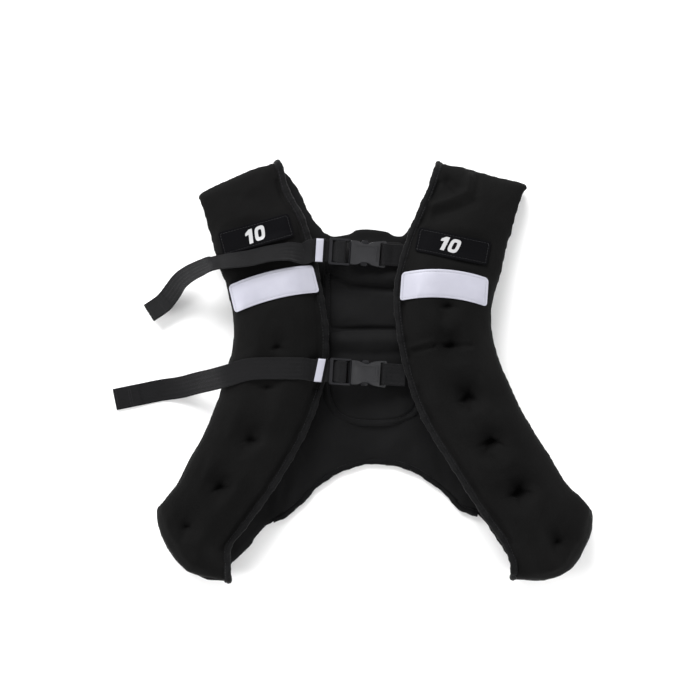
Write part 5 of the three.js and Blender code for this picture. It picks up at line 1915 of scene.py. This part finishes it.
class Vest:
    """The whole vest: makes its pieces in order, each on those before it."""

    def __init__(self, frame: dict) -> None:
        """Keeps the frame and works out the bound edges.
        """
        self.frame = frame
        self.left_edge = front_edge(LEFT_ROWS, 0.15, 10)
        self.right_edge = front_edge(RIGHT_ROWS, 0.4, 10)
        hem = spline(np.hstack([HEM_PATH, np.full((len(HEM_PATH), 1), 3.5)]), np.linspace(0, 1, 150))
        tangent = unit(np.gradient(hem, axis=0))
        inward = np.stack([-tangent[:, 1], tangent[:, 0], np.zeros(len(hem))], axis=1)
        inward *= np.where(inward[:, 1] < 0, -1.0, 1.0)[:, None]
        self.hem_edge = EdgeFrames(hem, np.tile([0.0, 0.0, 1.0], (len(hem), 1)), inward)
        self.fastenings = [
            Fastening("upper", -0.1, 0.559, 0.0, UPPER_TAIL),
            Fastening("lower", -0.098, -0.005, -8.0, LOWER_TAIL),
        ]
        label, band = (81, 27, LABEL, "label_patch"), (95, 31, REFLECTIVE, "reflective")
        self.patches = [
            SewnPatch("sewn_left_label_patch", -0.525, 0.6415, 15.7, 0.0, *label, lift=2.2),
            SewnPatch("sewn_right_label_patch", 0.366, 0.586, -11.8, 0.0, *label, lift=1.4),
            SewnPatch("sewn_left_reflective_band", -0.448, 0.403, 14, 0.045, *band),
            SewnPatch("sewn_right_reflective_band", 0.327, 0.41, -4, 0.07, *band),
        ]

    def footprint(self, patch: SewnPatch) -> Footprint:
        """Pressed place under a patch."""
        ends = patch.flat_place(np.array([-0.72, 0.0, 0.72]), np.zeros(3))
        return Footprint(tuple(map(tuple, ends)), patch.height / 2)

    def strap_footprint(self, fastening: Fastening) -> Footprint:
        """Pressed place under a strap's tail and its keeper.

        Args:
            fastening: The strap, its heights worked out.

        Returns:
            The pressed place.
        """
        start = fastening.flat @ Vector((fastening.ladder_end, 0, 0))
        laid = fastening.tail[:6, :2] * [HALF_WIDTH, HALF_LENGTH]
        return Footprint(((start.x, start.y), *map(tuple, laid)), WEBBING_WIDTH / 2 + 0.5)

    def padded(self) -> list:
        """The four stuffed pieces.

        Returns:
            The pieces, not yet built.
        """
        left_marks = (
            Tuft(-103.4, 25.3, 2.4, 7, 0, 0.5), Tuft(-114.4, -16.5, 2.0, 9, 0, 0.7),
            Tuft(-132, -75.9, 3.2, 11, 0, 1.1), Tuft(-166.1, -127.6, 3.4, 9, 15, 1.4),
            Tuft(-202.4, -170.5, 2.4, 5),
        )
        right_marks = (
            Tuft(82.5, 71.5, 2.4, 8, 0, 1.5), Tuft(85.8, 26.4, 3.2, 11, 0, 1.8),
            Tuft(104.5, -29.7, 4.0, 9, 0, 1.6), Tuft(129.8, -80.3, 4.6, 13, 0, 1.6),
            Tuft(160.6, -133.1, 4.8, 13, 8, 1.6), Tuft(201.3, -187, 2.8, 5, 0, 1.4),
        )
        left_prints = [self.footprint(p) for p in (self.patches[0], self.patches[2])]
        left_prints += [self.strap_footprint(f) for f in self.fastenings]
        right_prints = [self.footprint(p) for p in (self.patches[1], self.patches[3])]
        for fastening in self.fastenings:
            a = fastening.flat @ Vector((36, 0, 0))
            b = fastening.flat @ Vector((62, 0, 0))
            right_prints.append(Footprint(((a.x, a.y), (b.x, b.y)), WEBBING_WIDTH / 2 + 1.0))
        left_line, right_line = self.left_edge.edge[::4], self.right_edge.edge[::4]
        left_lobe = ((-222.0, -140.0, 0.0, -8.0, 12.0), (-205.0, -213.0, -2.2, -2.2, 22.0))
        right_lobe = ((232.0, -142.0, 0.0, 7.0, 12.0), (212.0, -213.0, -4.0, 3.5, 23.0))
        corner = (166.0, 206.0, 1.0, 5.0, 10.0)
        valleys = [tuple(map(tuple, (e.edge + e.inward * 8.6)[25:-25:6, :2]))
                   for e in (self.left_edge, self.right_edge)]
        neck_line = np.array([
            (-99, 222), (-79, 193), (-62, 164), (-43, 147), (0, 152), (33, 148), (47, 168), (58, 193),
            (69, 220),
        ], float)
        seams = ((120.0, 240.0, 11.5, 18.4), (-240.0, -110.0, 20.0, 27.4))
        return [
            PaddedPiece("left_front_padding", ("left_front_panel",), "shell_fabric", SHELL,
                        tufts=left_marks,
                        creases=(Crease(valleys[0], -1.5, 2.4),
                                 Crease(((-121, 220), (-98, 200)), -1.4, 8),
                                 Crease(((-138, 196), (-118, 208)), 0.9, 7),
                                 Crease(((-95, -40), (-104, -70), (-122, -100)), -0.8, 5)),
                        footprints=left_prints, held_lines=[left_line], seam_heights=seams, shifts=left_lobe),
            PaddedPiece("right_front_padding", ("right_front_panel",), "shell_fabric", SHELL,
                        tufts=right_marks,
                        creases=(Crease(valleys[1], -1.9, 2.6),
                                 Crease(((67, 182), (86, 188), (105, 198), (108, 212)), 4.0, 5),
                                 Crease(((70, 171), (90, 176), (112, 186)), -3.4, 6),
                                 Crease(((84, 208), (92, 200)), -3.2, 6),
                                 Crease(((116, 212), (114, 196)), -1.6, 4),
                                 Crease(((78, 60), (72, 34)), -2.2, 6),
                                 Crease(((42, 26.5), (66, 33)), 2.0, 2.8),
                                 Crease(((46, 21), (67, 27)), -1.8, 2.6),
                                 Crease(((67, 28.6), (108, 27.5)), -2.4, 2.6)),
                        footprints=right_prints, held_lines=[right_line], seam_heights=seams,
                        shifts=(*right_lobe, corner), swell=0.5),
            PaddedPiece("back_padding", ("back_panel",), "shell_fabric", LINING, voxel=3.75, cap=3.0,
                        under_share=0.0, split=6.0,
                        creases=(Crease(((-85, -140), (-75, -131)), -0.6, 1.4),),
                        held_lines=[self.hem_edge.edge[::6], neck_line], seam_heights=seams, swell=0.3,
                        shifts=((-8.0, 152.0, 6.0, 0.0, 15.0), (-87.0, 206.0, 0.0, 4.0, 20.0),
                                (-137.0, -197.0, 0.0, 2.5, 18.0), *left_lobe, *right_lobe, corner),
                        back_tufts=tuple(Tuft(x, y, 1.6, 7) for x, y in (
                            (-60, 100), (0, 100), (60, 100), (-60, 40), (0, 40), (60, 40), (-70, -25),
                            (0, -25), (70, -25), (-100, -85), (100, -85), (-150, -125), (150, -125)))),
            PaddedPiece("weight_pad", ("back_weight_pad",), "pad_fabric", LINING, voxel=2.4, cap=2.2,
                        under_share=0.0, split=14.0, swell=0.4,
                        held_lines=[self.pad_groove()], held_reach=3.0,
                        creases=(Crease(tuple(map(tuple, self.pad_groove())), -1.5, 1.6),
                                 Crease(((-56, 111), (-24, 94), (25, 89), (60, 95)), -3.4, 3.2),
                                 Crease(((-52, 124), (-20, 107), (25, 102), (58, 107)), 2.2, 7.0),
                                 Crease(((-56, 44), (0, 46), (60, 45)), -2.6, 3.2),
                                 Crease(((-50, 33), (0, 34), (56, 34)), 1.8, 6.5),
                                 Crease(((-50, 20), (0, 18), (56, 21)), -1.4, 5.0))),
        ]

    def pad_groove(self) -> np.ndarray:
        """Line of the seam inside the border of the weight pad.

        Returns:
            Places in plan in mm.
        """
        right = [(54, 120), (54, 60), (54, 0), (53.5, -20), (50.5, -33), (44, -44), (32, -51.5), (16, -54)]
        left = [(6.8 - x, y) for x, y in reversed(right)]
        return spline(np.array([(*p, 0.0) for p in right + left]), np.linspace(0, 1, 90))[:, :2]

    def build(self) -> None:
        """Makes every piece of the vest."""
        nodes = self.frame["nodes"]
        carrier = Surface([nodes["left_front_panel"], nodes["left_front_binding"]])
        coarse = [front_edge(LEFT_ROWS, 0.15, 3), front_edge(RIGHT_ROWS, 0.4, 3)]
        for fastening in self.fastenings:
            fastening.settle_heights(carrier, *coarse)
        panels = {}
        for piece in self.padded():
            panels[piece.name] = piece.build(self.frame)
            LOG.info("%s: %d faces", piece.name, len(panels[piece.name].data.polygons))
        edges = [
            BoundEdge("left_bound_edge", "left_front_binding", self.left_edge, seed=4),
            BoundEdge("right_bound_edge", "right_front_binding", self.right_edge, seed=9),
            BoundEdge("hem_bound_edge", "back_hem_binding", self.hem_edge, half=3.3, seed=2),
        ]
        taped = [edge.build() for edge in edges]
        seams = [edge.stitch_path() for edge in edges]
        left = [panels["left_front_padding"], taped[0]]
        right = [panels["right_front_padding"], taped[1]]
        laid = []
        for patch, carrier_pieces in zip(self.patches, (left, right, left, right)):
            laid.append(patch.build(Surface(carrier_pieces)))
            LOG.info("%s laid", patch.name)
        WeightFigures("left_load_figures", self.patches[0], (-0.02, 0.0), turn=4.0).build()
        WeightFigures("right_load_figures", self.patches[1], (-0.1, 0.05), turn=-3.0).build()
        under = Surface([*left, laid[0], laid[2]])
        ridges = []
        hems = []
        for fastening in self.fastenings:
            fastening.strap(under)
            fastening.anchor()
            fastening.keeper()
            fastening.stripe()
            hems += fastening.hem_lines()
            buckle = SideReleaseBuckle(fastening.level, fastening.spot)
            buckle.body_half()
            buckle.ladder_half()
            ridges += buckle.ridges()
            LOG.info("%s fastening made", fastening.level)
        groove = self.pad_groove()
        pad = Surface([panels["weight_pad"]])
        border = np.array([[x, y, pad.height(x, y) + 0.15] for x, y in groove])
        StitchLines("edge_stitches", [*seams, border]).build()
        sewn = [p.stitch_path() for p in self.patches]
        StitchLines("label_stitches", sewn[:2], slot="label_patch").build()
        StitchLines("band_stitches", sewn[2:], PALE_THREAD, "reflective").build()
        StitchLines("strap_hem_stitches", hems, slot="webbing", pitch=2.6, long=2.0).build()
        StitchLines("buckle_grip_ridges", ridges, LADDER_PLASTIC, "buckle_plastic", pitch=1.0, long=1.1,
                    wide=0.5, high=0.5).build()


def main() -> None:
    """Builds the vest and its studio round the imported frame."""
    logging.basicConfig(level=logging.INFO, format="%(name)s: %(message)s", stream=sys.stdout)
    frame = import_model()
    Studio().build()
    Vest(frame).build()


if __name__ == "__main__":
    main()
